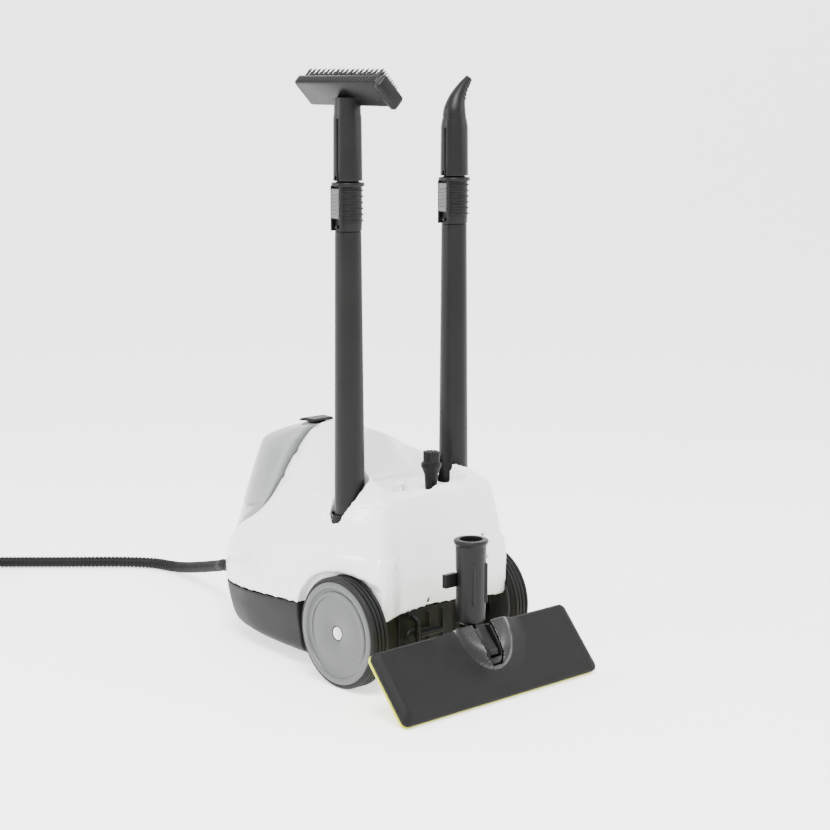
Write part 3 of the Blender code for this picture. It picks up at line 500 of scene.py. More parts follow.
def moulding(name, body, material, voxel, rounds, push=None):
    """The finished moulding from a carved body: remeshed, its edges rounded, its relief pushed out."""
    remesh = body.modifiers.new("skin", "REMESH")
    remesh.mode = "VOXEL"
    remesh.voxel_size = voxel * 0.001
    ease = body.modifiers.new("ease", "SMOOTH")
    ease.factor = 0.5
    ease.iterations = rounds
    bpy.context.view_layer.update()
    settled(body)
    if push:
        skin = [(v.co.copy(), v.normal.copy()) for v in body.data.vertices]
        moved = [c + n * push((c - MACHINE) * 1000, n) * 0.001 for c, n in skin]
        body.data.vertices.foreach_set("co", [value for place in moved for value in place])
    body.data.shade_smooth()
    body.data.materials.clear()
    body.data.materials.append(material)
    body.name = name
    return body


def arch_body(inner_x, side, grow=0.0):
    outline = [(y * (1 + grow / 80), z * (1 + grow / 110) if z > 0 else z) for y, z in ARCH]
    smooth = [(p.x, p.y) for p in spline([(y, z, 0) for y, z in outline[1:-1]], 6)]
    outline = [outline[0], *smooth, outline[-1]]
    return side_prism(outline, *((inner_x, 140) if side > 0 else (-140, -inner_x)))


def parting(back=0.0, rise=0.0):
    """Side view of all that lies in front of the parting line between tank and shell."""
    middle = spline([(y, z, 0) for y, z in TANK_BACK[1:-2]], 5)
    line = [TANK_BACK[0], *((p.x, p.y) for p in middle), *TANK_BACK[-2:]]
    return [(y + back, z + rise) for y, z in line]


def bay_body(grow=0.0):
    floor_line = [(0, -60), (30, -58), (49, -49), (56, -22), (64, 6), (56, 18), (0, 20)]
    rim_line = [(0, -116), (28, -110), (50, -80), (60, -32), (73, 8), (66, 20), (0, 21.5)]
    form = bmesh.new()
    rows = []
    for z, half in ((BAY_FLOOR - grow, floor_line), (BAY_FLOOR + 9, floor_line), (290, rim_line)):
        ring = outline_ring(half, 0, 5)
        rows.append([at(p.x * (1 + grow / 60), -20 + (p.y + 20) * (1 + grow / 42), z) for p in ring])
    skin_rows(form, rows)
    return scrap(form)


def step_up(value, width):
    """A soft step from 0 to 1 over a width around zero."""
    return eased(value / width + 0.5)


def line_height(points, y):
    """Height of a line through (Y, Z) points at a Y."""
    for (y0, z0), (y1, z1) in zip(points, points[1:]):
        if y <= y1:
            return z0 + (z1 - z0) * (max(y, y0) - y0) / (y1 - y0)
    return points[-1][1]


BAND = [(-110, 78), (-104, 92), (-93, 107), (-79, 123), (-66, 137), (-52, 146), (-36, 151), (-6, 153),
        (29, 154), (60, 152)]
SHOULDER = [(-262, 112), (-215, 138), (-151, 160), (-80, 186), (-3, 205), (31, 214), (60, 216)]


def shell_relief(p, n):
    """How far the skin of the shell stands out at a place, in millimetres."""
    out = 0.0
    flank = eased((abs(n.x) - 0.35) / 0.3)
    rear = eased((n.y - 0.45) / 0.3) * eased((p.y - 5) / 10)
    if abs(p.x) > 55 and p.y > -118:
        out += 1.7 * flank * step_up(line_height(BAND, p.y) - p.z, 5) * eased((p.y + 112) / 8)
    if rear > 0 and p.z < 170:
        crest = 137 + 15 * eased((abs(p.x) - 25) / 50)
        out += 1.4 * rear * step_up(crest - p.z, 6)
    drop = line_height(SHOULDER, p.y) - p.z
    if abs(p.x) > 45 and -262 < p.y < 40:
        out -= 2.4 * flank * step_up(drop, 4) * math.exp(-max(drop, 0) / 16) * eased((p.y + 262) / 60)
    if p.z > 200 and -190 < p.y < -40 and abs(p.x) > 12:
        ahead = min(math.hypot(p.y - y, p.z - z) for y, z in TANK_BACK[4:11])
        inside = eased((ahead - 11) / 4) * step_up(p.z - 207 - 0.06 * (p.y + 150), 4) * eased((-46 - p.y) / 8)
        out -= 1.3 * inside * eased((abs(n.x) - 0.15) / 0.2)
    return out


shell = stacked(HOUSING[2:])
cavity = stacked(HOUSING[2:], inset=WALL)
carve(shell, side_prism([(-400, 58.5), (-86, 81), (100, 81), (100, -20), (-400, -20)], -200, 200),
      side_prism(parting(), -200, 200), bay_body())
carve(cavity, side_prism(parting(WALL, -WALL), -200, 200), bay_body(WALL))
for side in (-1, 1):
    carve(shell, drum(22, (side * TUBE_X, TUBE_Y, 141), (0, 0, 1), 160), arch_body(97.3, side))
    carve(cavity, drum(24.5, (side * TUBE_X, TUBE_Y, 138), (0, 0, 1), 160), arch_body(94.8, side, WALL))
carve(shell, cavity)
carve(shell, block((-12.5, -129, 250), (12.5, -111, 290)), drum(3.3, (0, -138, 250), (0, 0, 1), 40),
      drum(6.5, (0, -299, 80), (0, 0, 1), 25), drum(12.5, (-36, -256, 95), (0, 0, 1), 100),
      drum(13, (24, -285, 62), (0, -1, 0), 50))
hook_line = [(18, 212), (18, 222), (19.5, 226), (23, 228.5), (33, 228.5), (36.5, 226), (38, 222), (38, 212),
             (33, 212), (33, 221), (31.5, 223.5), (24.5, 223.5), (23, 221), (23, 212)]
carve(shell, drum(4.2, (-19, 4, 211), (0, 0, 1), 13), side_prism(hook_line, -2, 6, "XZ"), operation="UNION")
shell = moulding("white_shell", shell, white_gloss, 1.9, 9, shell_relief)
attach(shell, "root")
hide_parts("upper_shell")

# ---- water tank ----------------------------------------------------------------------------
# A lift-off tank blow-moulded in smoke-grey translucent plastic. It makes the upper front of
# the machine, and a black tab over its filler plug lifts it.

smoke = moulded("smoke_plastic", (0.2, 0.206, 0.21), (0.26, 0.267, 0.272), (0.16, 0.26), 240, 0.00002,
                8, 0.2)
shader_of(smoke).inputs["Transmission Weight"].default_value = 0.22
shader_of(smoke).inputs["IOR"].default_value = 1.45
shader_of(smoke).inputs["Coat Weight"].default_value = 0.3

TANK = [
    (92, [(0, -313), (40, -305), (60, -284), (64, -262), (64, -200), (0, -200)]),
    (110, [(0, -311), (40, -302), (62, -277), (68, -250), (68, -190), (0, -190)]),
    (140, [(0, -300), (38, -292), (62, -262), (69, -232), (69, -180), (0, -180)]),
    (165, [(0, -290), (36, -283), (58, -254), (68, -215), (68, -170), (0, -170)]),
    (200, [(0, -277), (34, -270), (55, -241), (62, -200), (62, -160), (0, -160)]),
    (235, [(0, -264), (31, -257), (49, -229), (54, -190), (54, -150), (0, -150)]),
    (249, [(0, -256), (28, -249), (43, -224), (48, -190), (48, -150), (0, -150)]),
    (262, [(0, -225), (22, -220), (33, -203), (38, -185), (38, -150), (0, -150)]),
    (269, [(0, -202), (17, -198), (27, -186), (31, -175), (31, -150), (0, -150)]),
    (272, [(0, -192), (11, -190), (18, -181), (20, -172), (20, -150), (0, -150)]),
]
TANK_FOLD = [(-320, 176), (-290, 166), (-250, 162), (-222, 172), (-150, 180)]


def tank_relief(p, n):
    """The tank's skin steps back a little below the fold along its flanks."""
    return -1.1 * step_up(line_height(TANK_FOLD, p.y) - p.z, 4) * eased((abs(n.x) - 0.1) / 0.3)


tank = stacked(TANK, 0.3)
hollow = stacked(TANK, 3.0)
carve(tank, side_prism(parting(-0.7, 0.7), -200, 200), operation="INTERSECT")
carve(hollow, side_prism(parting(-3.6, 3.6), -200, 200), operation="INTERSECT")
carve(tank, hollow, drum(10.3, (0, -184, 250), (0, 0, 1), 50), drum(5.3, (0, -299, 80), (0, 0, 1), 30))
tank = moulding("smoke_tank", tank, smoke, 1.3, 6, tank_relief)
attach(tank, "tank")
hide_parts("water_tank")

black_plastic = muted(moulded("black_plastic", (0.0025, 0.0025, 0.0025), (0.006, 0.006, 0.006),
                              (0.32, 0.5), 1300))
tab = side_prism([(-200, 272.6), (-196, 275.6), (-189, 277.4), (-172, 277.4), (-168.4, 275.6),
                  (-170, 273.8)], -15.6, 15.6)
carve(tab, drum(10, (0, -184, 262), (0, 0, 1), 13), operation="UNION")
tab = moulding("tank_tab", tab, black_plastic, 0.6, 3)
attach(tab, "tank")
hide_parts("tank_handle")

# ---- base and rear cover -------------------------------------------------------------------
# The base pan is moulded in charcoal polypropylene with a fine spark-eroded grain. A black
# cover closes its rear between the wheels, with the hoop that the floor nozzle parks on.

charcoal = muted(moulded("charcoal_grain", (0.006, 0.006, 0.0058), (0.013, 0.013, 0.0126), (0.42, 0.6),
                         1500, 0.00006))

base = stacked(HOUSING[:6])
pan_hollow = stacked(HOUSING[:6], inset=WALL)
carve(base, side_prism([(-400, 58.2), (-86, 80.7), (100, 80.7), (100, 200), (-400, 200)], -200, 200),
      block((-150, 23.7, 0), (150, 90, 120)))
for side in (-1, 1):
    carve(base, arch_body(97.3, side))
    carve(pan_hollow, arch_body(90.8, side, WALL))
carve(pan_hollow, block((-150, 20.7, 0), (150, 90, 120)), drum(35, (0, -222, 0), (0, 0, 1), 46))
carve(base, pan_hollow, drum(32, (0, -222, 0), (0, 0, 1), 43), drum(4.4, (0, -222, 30), (0, 0, 1), 30),
      drum(4.3, (-130, 0, 65), (1, 0, 0), 260), drum(8, (-58, 15, 46), (0, 1, 0), 25),
      drum(13, (24, -285, 62), (0, -1, 0), 50))
base = moulding("charcoal_base", base, charcoal, 1.4, 5)
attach(base, "root")
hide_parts("base_pan")

cover = side_prism([(-94, 18), (94, 18), (94, 60), (90, 80.4), (-90, 80.4), (-94, 60)], 24, 28, "XZ")
hoop_line = [(27, 76), (36, 76), (41, 73), (43, 68), (43, 36), (41, 29), (36, 26), (27, 26), (27, 31),
             (34, 31),
             (37, 34), (38, 38), (38, 66), (37, 69), (34, 71), (27, 71)]
ribs = [block((x - 1, 27.5, 24), (x + 1, 31, 76)) for x in (-80, -58, -36, -14, 8, 56, 78)]
carve(cover, side_prism(hoop_line, 33, 38), block((-6, 27, 50), (30, 40, 55)),
      drum(9, (34, 27.5, 49), (0, 1, 0), 3),
      *ribs, operation="UNION")
carve(cover, drum(8, (-58, 15, 46), (0, 1, 0), 25))
cover = moulding("rear_cover", cover, black_plastic, 0.9, 3)
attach(cover, "root")
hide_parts("rear_panel")

for hand, side in (("left", 1), ("right", -1)):
    liner = turned_piece(f"tube_liner_{hand}", [(21.3, 195.6), (21.6, 195), (21.6, 141.4), (0, 141.4),
                                                (0, 144.4), (19.2, 144.4),
                                               (19.2, 194), (19.8, 195.6)], black_plastic,
                         at(side * TUBE_X, TUBE_Y), (0, 0, 1), 64)
    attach(liner, "root")
    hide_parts(f"tube_holder_{hand}")

# ---- wheels --------------------------------------------------------------------------------
# Two large wheels with mid-grey moulded discs and black rubber tyres with round tread ribs
# turn on a steel axle. Each disc has a raised outer ring and a raised arc in its field.

tyre_rubber = muted(moulded("tyre_rubber", (0.003, 0.003, 0.003), (0.007, 0.007, 0.007), (0.5, 0.68),
                            1100, 0.00005), 0.2)
disc_grey = moulded("disc_grey", (0.05, 0.052, 0.052), (0.064, 0.067, 0.067), (0.3, 0.46), 1300)
WHEEL_CENTRE = at(0, 0, 65)
OUTER, INNER = 125.5, 99.5

for hand, side in (("left", 1), ("right", -1)):
    body = f"{hand}_wheel"
    tread = [(60.4, OUTER - 1), (62, OUTER - 1.2), (63.6, OUTER - 2.2)]
    for k in range(4):
        edge = OUTER - 3.4 - 5.3 * k
        tread += [(64.6, edge), (65, edge - 0.9), (65, edge - 2.6), (64.6, edge - 3.5),
                  (62.9, edge - 3.9), (62.9, edge - 4.9)]
    tread += [(62.9, INNER + 1), (61, INNER), (56.4, INNER), (56.4, OUTER - 4.4), (60.4, OUTER - 4.4)]
    tyre = turned_piece(f"tyre_rubber_{hand}", tread, tyre_rubber, WHEEL_CENTRE, (side, 0, 0), 96, 50)
    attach(tyre, body)
    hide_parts(f"tyre_{hand}")
    face = [(4.35, OUTER - 4.4), (9, OUTER - 4.4), (9, OUTER - 2.6), (10.5, OUTER - 2),
            (36, OUTER - 1.7), (38, OUTER - 1.9),
            (50.4, OUTER - 2.8), (51.6, OUTER - 2.2), (52.6, OUTER - 0.4), (54, OUTER), (58, OUTER),
            (59.4, OUTER - 0.5),
            (60.1, OUTER - 2), (60.1, OUTER - 4), (56, OUTER - 4), (56, INNER + 1), (53, INNER + 1),
            (53, OUTER - 5),
            (11, OUTER - 5), (11, INNER + 1), (4.35, INNER + 1)]
    disc = turned_piece(f"wheel_disc_{hand}", face, disc_grey, WHEEL_CENTRE, (side, 0, 0), 96)
    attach(disc, body)
    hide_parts(f"wheel_{hand}")
    arc = []
    for step in range(49):
        angle = math.radians(-35 + 250 * step / 48)
        thick = 1.0 * eased(step / 6) * eased((48 - step) / 6) + 0.05
        row = [(43.2, -2.9), (43.6, -2.5 + thick), (44.6, -2.1 + thick), (47.6, -2.3 + thick),
               (48.6, -2.8 + thick), (49, -3.3)]
        arc.append([at(side * (OUTER + z), r * math.cos(angle), 65 + r * math.sin(angle)) for r, z in row])
    form = bmesh.new()
    skin_rows(form, arc)
    arc = new_piece(f"wheel_arc_{hand}", form, disc_grey, 50)
    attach(arc, body)

# ---- extension tubes -----------------------------------------------------------------------
# Two conical tubes in satin charcoal plastic stand upside down in their liners. A ribbed collar
# with a grey release slider closes each upper end, where a tool's sleeve is pushed on.

satin = muted(moulded("satin_charcoal", (0.0045, 0.0045, 0.0044), (0.009, 0.009, 0.0088), (0.3, 0.44),
                      1200, 0.00003), 0.16)
slider_grey = moulded("slider_grey", (0.06, 0.06, 0.06), (0.09, 0.09, 0.09), (0.4, 0.55), 1300)
COLLAR, TOOL = 524.0, 576.0

for hand, side in (("left", 1), ("right", -1)):
    foot = at(side * TUBE_X, TUBE_Y)
    tube = turned_piece(f"tube_{hand}", [(11.4, 612), (11.6, TOOL), (13.4, TOOL - 1),
                                         (13.4, COLLAR - 4), (14.9, COLLAR - 4.5),
                                         (15.1, COLLAR - 10), (18.1, 158), (18.3, 150), (18.0, 147),
                                         (16.4, 146), (9, 146),
                                         (9, 612)], satin, foot, (0, 0, 1), 64)
    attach(tube, f"{hand}_tube")
    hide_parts(f"extension_tube_{hand}")
    sleeve_line = [(15.2, TOOL - 1.4), (18.2, TOOL - 1.8), (18.7, TOOL - 2.6), (18.7, TOOL - 5),
                   (18.2, TOOL - 5.8), (16.0, TOOL - 6.6)]
    for k in range(6):
        z = TOOL - 9.2 - 6.7 * k
        sleeve_line += [(16.0, z), (17.4, z - 0.6), (17.6, z - 1.2), (17.4, z - 1.9), (16.0, z - 2.5)]
    sleeve_line += [(15.7, COLLAR + 1), (15.4, COLLAR - 3.5), (13.7, COLLAR - 3.5), (13.7, TOOL - 1.4)]
    collar = turned_piece(f"collar_{hand}", sleeve_line, satin, foot, (0, 0, 1), 64, 50)
    cheek = side_prism([(TUBE_Y - 8.6, COLLAR - 3), (TUBE_Y - 8.6, TOOL - 5), (TUBE_Y - 6.7, TOOL - 5),
                        (TUBE_Y - 6.7, COLLAR - 3)],
                       side * TUBE_X + 11, side * TUBE_X + 18.4)
    other = side_prism([(TUBE_Y + 6.7, COLLAR - 3), (TUBE_Y + 6.7, TOOL - 5), (TUBE_Y + 8.6, TOOL - 5),
                        (TUBE_Y + 8.6, COLLAR - 3)],
                       side * TUBE_X + 11, side * TUBE_X + 18.4)
    carve(collar, block((side * TUBE_X + 14.6, TUBE_Y - 6.9, COLLAR - 1),
                        (side * TUBE_X + 25, TUBE_Y + 6.9, TOOL - 6.8)))
    carve(collar, cheek, other, operation="UNION")
    carve(collar, drum(11.9, (side * TUBE_X, TUBE_Y, COLLAR - 6), (0, 0, 1), 60))
    carve(collar, drum(13.7, (side * TUBE_X, TUBE_Y, COLLAR - 6), (0, 0, 1), 56))
    collar.data.shade_smooth()
    collar.data.set_sharp_from_angle(angle=math.radians(40))
    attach(collar, f"{hand}_tube")
    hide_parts(f"tube_collar_{hand}")
    knob = turned_piece(f"collar_knob_{hand}", [(0, 4.6), (1.3, 4.5), (1.9, 3.9), (2.0, 2.8), (1.9, 0),
                                                (0, 0)], satin,
                        at(side * TUBE_X + 13.6, TUBE_Y, COLLAR + 1.4), (1, 0, 0), 24)
    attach(knob, f"{hand}_tube")
    low, high = COLLAR + 10, TOOL - 8
    edge = [(15.0, low), (17.6, low + 0.4), (19.6, low + 1.6)]
    for k in range(7):
        z = low + 4 + 4 * k
        edge += [(20.3, z), (20.5, z + 0.8), (20.3, z + 1.6), (19.3, z + 2), (19.3, z + 3.4)]
    edge += [(19.6, high - 0.8), (17.6, high), (15.0, high)]
    slider = side_prism([(side * TUBE_X + x, z) for x, z in edge], TUBE_Y - 6.2, TUBE_Y + 6.2, "XZ")
    slider = moulding(f"release_slider_{hand}", slider, slider_grey, 0.45, 2)
    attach(slider, f"{hand}_slider")
    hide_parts(f"tube_release_{hand}")

# ---- hand brush ----------------------------------------------------------------------------
# A T-shaped brush on a sleeve that fits the extension tube. Its moulded head has a corrugated
# grip band, and stiff black nylon bristles stand in rows in its tilted face.

bristle_black = muted(moulded("bristle_black", (0.008, 0.008, 0.008), (0.02, 0.02, 0.02), (0.35, 0.5), 900))


def tool_sleeve(hand, side, top, neck):
    """The socket end of a tool, with its long rib and the small window for the lock's peg."""
    line = [(neck, top), (neck + 0.4, top - 2), (15.9, top - 9), (16.5, TOOL + 3), (16.6, TOOL + 1.2),
            (16.2, TOOL + 0.4),
            (12, TOOL + 0.4), (12, 616), (8, 620), (8, top)]
    made = turned_piece(f"sleeve_{hand}", line, satin, at(side * TUBE_X, TUBE_Y), (0, 0, 1), 64)
    rib_x = side * TUBE_X + 15.4
    carve(made, block((rib_x - 2, TUBE_Y - 1.6, TOOL + 3), (rib_x + 2.2, TUBE_Y + 1.6, top - 10)),
          block((rib_x - 4, TUBE_Y - 2.4, TOOL + 0.5), (rib_x + 2.4, TUBE_Y + 2.4, TOOL + 9)),
          operation="UNION")
    carve(made, block((rib_x - 1, TUBE_Y - 1.6, TOOL - 1), (rib_x + 5, TUBE_Y + 1.6, TOOL + 6)))
    return made


HEAD = at(TUBE_X, TUBE_Y, 676)
TILT = Matrix.Rotation(math.radians(-45), 3, "Y")


def on_head(x, y, z):
    """A place on the brush head: across it, along it and out of its bristle face."""
    return HEAD + TILT @ Vector((x, y, z)) * 0.001


def head_body(low_y, high_y, low_z, high_z, half, taper=0.0, rounds=3.5):
    """A long rounded bar of the head, from its low to its high end."""
    rows = []
    for y, shrink in ((low_y, 2.6), (low_y + 0.9, 0.9), (low_y + 2.6, 0), (high_y - 2.6, 0),
                      (high_y - 0.9, 0.9), (high_y, 2.6)):
        across, up, down = half - shrink, high_z - shrink * 0.5, low_z + shrink + taper * abs(y) / 70
        row = []
        for cx, cz, start in ((across - rounds, up - rounds, 0), (-across + rounds, up - rounds, 90),
                              (-across + rounds, down + rounds, 180),
                              (across - rounds, down + rounds, 270)):
            row += [on_head(cx + rounds * math.cos(math.radians(start + 22.5 * k)), y,
                            cz + rounds * math.sin(math.radians(start + 22.5 * k))) for k in range(5)]
        rows.append(row)
    form = bmesh.new()
    skin_rows(form, rows)
    return scrap(form)


brush = tool_sleeve("hand_brush", 1, 655, 14.4)
carve(brush, drum(15.2, (TUBE_X, TUBE_Y, 642), (0, 0, 1), 26, 48, 15.0),
      head_body(-74, 66, -12, 6, 19, 5), operation="UNION")
for k in range(28):
    y = -66 + 4.6 * k
    groove = bmesh.new()
    skin_rows(groove, [[on_head(x, y + dy, z) for x, dy, z in ((30, -0.8, -9), (30, 0.8, -9),
                                                               (30, 0.8, 2), (30, -0.8, 2))],
                       [on_head(x, y + dy, z) for x, dy, z in ((18.1, -0.8, -9), (18.1, 0.8, -9),
                                                               (18.1, 0.8, 2), (18.1, -0.8, 2))]])
    carve(brush, scrap(groove))
carve(brush, drum(8, (TUBE_X, TUBE_Y, 600), (0, 0, 1), 62))
brush.data.shade_smooth()
brush.data.set_sharp_from_angle(angle=math.radians(35))
brush.data.materials.clear()
brush.data.materials.append(satin)
brush.name = "hand_brush_body"
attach(brush, "brush_tool")
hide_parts("hand_brush")

cap = head_body(66.3, 76, -12, 6, 19, 0)
cap.name = "brush_end_cap"
cap.data.materials.append(satin)
cap.data.shade_smooth()
cap.data.set_sharp_from_angle(angle=math.radians(35))
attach(cap, "brush_tool")
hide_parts("hand_brush_cap")


def bristle_tree():
    """Geometry Nodes: a bundle of tapered bristles on every point of a mesh."""
    tree = bpy.data.node_groups.new("bristle_field", "GeometryNodeTree")
    for name, kind in (("Holes", "NodeSocketGeometry"), ("Length", "NodeSocketFloat"),
                       ("Radius", "NodeSocketFloat"),
                       ("Splay", "NodeSocketFloat"), ("Material", "NodeSocketMaterial")):
        tree.interface.new_socket(name, in_out="INPUT", socket_type=kind)
    tree.interface.new_socket("Bristles", in_out="OUTPUT", socket_type="NodeSocketGeometry")
    node, wire = tree.nodes.new, tree.links.new
    given, out = node("NodeGroupInput"), node("NodeGroupOutput")
    cone = node("GeometryNodeMeshCone")
    cone.inputs["Vertices"].default_value = 6
    wire(given.outputs["Radius"], cone.inputs["Radius Bottom"])
    half = node("ShaderNodeMath")
    half.operation = "MULTIPLY"
    half.inputs[1].default_value = 0.6
    wire(given.outputs["Radius"], half.inputs[0])
    wire(half.outputs[0], cone.inputs["Radius Top"])
    wire(given.outputs["Length"], cone.inputs["Depth"])
    sway = node("FunctionNodeRandomValue")
    sway.data_type = "FLOAT_VECTOR"
    sway.inputs["Seed"].default_value = 7
    spread = node("ShaderNodeVectorMath")
    spread.operation = "SCALE"
    sway.inputs["Min"].default_value = (-1, -1, 0)
    sway.inputs["Max"].default_value = (1, 1, 0)
    wire(sway.outputs["Value"], spread.inputs["Vector"])
    wire(given.outputs["Splay"], spread.inputs["Scale"])
    normal = node("GeometryNodeInputNormal")
    lean = node("ShaderNodeVectorMath")
    wire(normal.outputs["Normal"], lean.inputs[0])
    wire(spread.outputs["Vector"], lean.inputs[1])
    aim = node("FunctionNodeAlignRotationToVector")
    wire(lean.outputs["Vector"], aim.inputs["Vector"])
    place = node("GeometryNodeInstanceOnPoints")
    wire(given.outputs["Holes"], place.inputs["Points"])
    wire(cone.outputs["Mesh"], place.inputs["Instance"])
    wire(aim.outputs["Rotation"], place.inputs["Rotation"])
    real, paint = node("GeometryNodeRealizeInstances"), node("GeometryNodeSetMaterial")
    wire(place.outputs["Instances"], real.inputs["Geometry"])
    wire(real.outputs["Geometry"], paint.inputs["Geometry"])
    wire(given.outputs["Material"], paint.inputs["Material"])
    wire(paint.outputs["Geometry"], out.inputs["Bristles"])
    return tree


BRISTLES = bristle_tree()


def bristle_field(name, holes, normal, length, radius, splay):
    """Bristles of a length on each hole, as one plain mesh."""
    data = bpy.data.meshes.new(name)
    faces, corners = [], []
    turn = Vector((0, 0, 1)).rotation_difference(normal).to_matrix()
    for hole in holes:
        corners += [hole + turn @ Vector((x, y, 0)) * 0.0001 for x, y in ((0, 0), (1, 0), (0, 1))]
        faces.append((len(corners) - 3, len(corners) - 2, len(corners) - 1))
    data.from_pydata(corners, [], faces)
    made = bpy.data.objects.new(name, data)
    bpy.context.collection.objects.link(made)
    step = made.modifiers.new("bristles", "NODES")
    step.node_group = BRISTLES
    names = {item.name: item.identifier for item in BRISTLES.interface.items_tree if item.in_out == "INPUT"}
    step[names["Length"]] = length
    step[names["Radius"]] = radius
    step[names["Splay"]] = splay
    step[names["Material"]] = bristle_black
    bpy.context.view_layer.update()
    settled(made)
    return made


holes = [on_head(-14 + 3.5 * i + 1.2 * (j % 2), -68 + 4.1 * j, 6.2) for i in range(9) for j in range(32)]
tufts = bristle_field("hand_brush_tufts", holes, TILT @ Vector((0, 0, 1)), 0.0118, 0.001, 0.04)
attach(tufts, "brush_tool")
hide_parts("hand_brush_bristles")

# ---- detail nozzle and round brush ---------------------------------------------------------
# The detail nozzle is a sleeve that narrows into a bent jet with finger ridges and a black tip.
# A small round brush with moulded bristles stands on a spigot in the bay.

nozzle = tool_sleeve("detail_nozzle", -1, 642, 14.4)
bend = [(0, 641, 14.5, 0), (0, 652, 13.5, 4), (-3, 663, 11, 18), (-8, 672, 8.6, 32),
        (-15, 681, 6.4, 42), (-22, 687.5, 5.2, 48)]
smooth = spline([(x, z, radius) for x, z, radius, _ in bend], 8)
leans = [p.x for p in spline([(lean, 0, 0) for *_, lean in bend], 8)]
rows = []
for i, (spot, lean) in enumerate(zip(smooth, leans)):
    turn = Matrix.Rotation(math.radians(-lean), 3, "Y")
    ridge = 0.9 if 17 < i < 37 and i % 4 < 2 else 0.0
    ring = [turn @ Vector((math.cos(a), math.sin(a), 0)) for a in (2 * math.pi * k / 32 for k in range(32))]
    rows.append([at(-TUBE_X + spot.x, TUBE_Y, spot.y) + p * (spot.z - 0.4 + ridge * eased(0.5 - 1.4 * (turn.inverted() @ p).x)) * 0.001
                 for p in ring])
form = bmesh.new()
skin_rows(form, rows)
carve(nozzle, scrap(form), operation="UNION")
carve(nozzle, drum(8, (-TUBE_X, TUBE_Y, 600), (0, 0, 1), 50))
nozzle.data.shade_smooth()
nozzle.data.set_sharp_from_angle(angle=math.radians(35))
nozzle.data.materials.clear()
nozzle.data.materials.append(satin)
nozzle.name = "detail_nozzle_body"
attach(nozzle, "detail_tool")
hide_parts("detail_nozzle")
jet = turned_piece("detail_jet", [(1.2, 1.4), (3.6, 1.4), (4.6, 0.9), (4.9, 0.1), (1.2, 0.1)],
                   bristle_black,
                   at(-TUBE_X - 22, TUBE_Y, 687.5), (-math.sin(math.radians(48)), 0,
                                                     math.cos(math.radians(48))), 32)
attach(jet, "detail_tool")

stub_line = [(8, 246), (10.6, 246), (11.6, 245.2), (12, 243.8), (12, 240.6), (11.4, 239.4)]
for k in range(4):
    z = 238.6 - 2.2 * k
    stub_line += [(10.9 - 0.8 * k, z), (10.4 - 0.8 * k, z - 0.5), (10.4 - 0.8 * k, z - 1.2)]
stub_line += [(7.8, 229), (7, BAY_FLOOR + 0.5), (4.7, BAY_FLOOR + 0.5), (4.7, 228), (8, 240)]
stub = turned_piece("round_brush_body", stub_line, black_plastic, at(-19, 4), (0, 0, 1), 40)
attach(stub, "small_brush")
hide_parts("round_brush")
holes = []
for ring, count in ((2.0, 6), (4.2, 13), (6.4, 20), (8.6, 27)):
    holes += [at(-19 + ring * math.cos(a), 4 + ring * math.sin(a),
                 246.3) for a in (2 * math.pi * k / count for k in range(count))]
pad = turned_piece("round_brush_pad", [(0, 247), (9.4, 247), (9.6, 246.2), (0, 246.2)], bristle_black,
                   at(-19, 4), (0, 0, 1), 32)
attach(pad, "small_brush")
tufts = bristle_field("round_brush_tufts", holes, Vector((0, 0, 1)), 0.0125, 0.00075, 0.1)
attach(tufts, "small_brush")
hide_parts("round_brush_bristles")

# ---- floor nozzle --------------------------------------------------------------------------
# A wide flat sole moulded in charcoal plastic with a fine spark-eroded grain. A dome in its
# middle carries a glossy crescent around the yoke of the joint, and a groove runs along its edge.

edge_grain = muted(moulded("sole_grain", (0.002, 0.002, 0.002), (0.014, 0.014, 0.0137), (0.48, 0.66),
                           1700, 0.00012, 30, 0.8))
dark_gloss = muted(moulded("crescent_gloss", (0.004, 0.004, 0.004), (0.008, 0.008, 0.008), (0.2, 0.3),
                           500), 0.45)
PLATE = at(13, 101, 69.9)
LEAN = Matrix.Rotation(math.radians(-49.05), 3, "X")
HALF, DEPTH = 152.5, 90.0


def on_plate(x, y, h):
    """A place on the sole: along it, down from its upper edge and out of its upper face."""
    return PLATE + LEAN @ Vector((x, y, h)) * 0.001


def plate_ring(inset_x, top, bottom, corner, steps=6):
    """A rounded outline of the sole, in its own plane."""
    half, low, high = HALF - inset_x, top, DEPTH - bottom
    out = []
    for cx, cy, start in ((half - corner, high - corner, 0), (-half + corner, high - corner, 90),
                          (-half + corner, low + corner, 180), (half - corner, low + corner, 270)):
        out += [(cx + corner * math.cos(math.radians(start + 90 * k / steps)),
                 cy + corner * math.sin(math.radians(start + 90 * k / steps))) for k in range(steps + 1)]
    return out


def bump_height(x, y):
    """Height of the dome on the sole's upper face, and of its crescent."""
    wide = math.hypot(x / 74, max(y - 4, 0) / 70)
    dome = 12.4 * eased((1.02 - wide) / 0.62)
    rim = math.hypot(x / 40, max(y - 8, 0) / 50)
    return dome + 1.8 * eased((1.06 - rim) / 0.1)


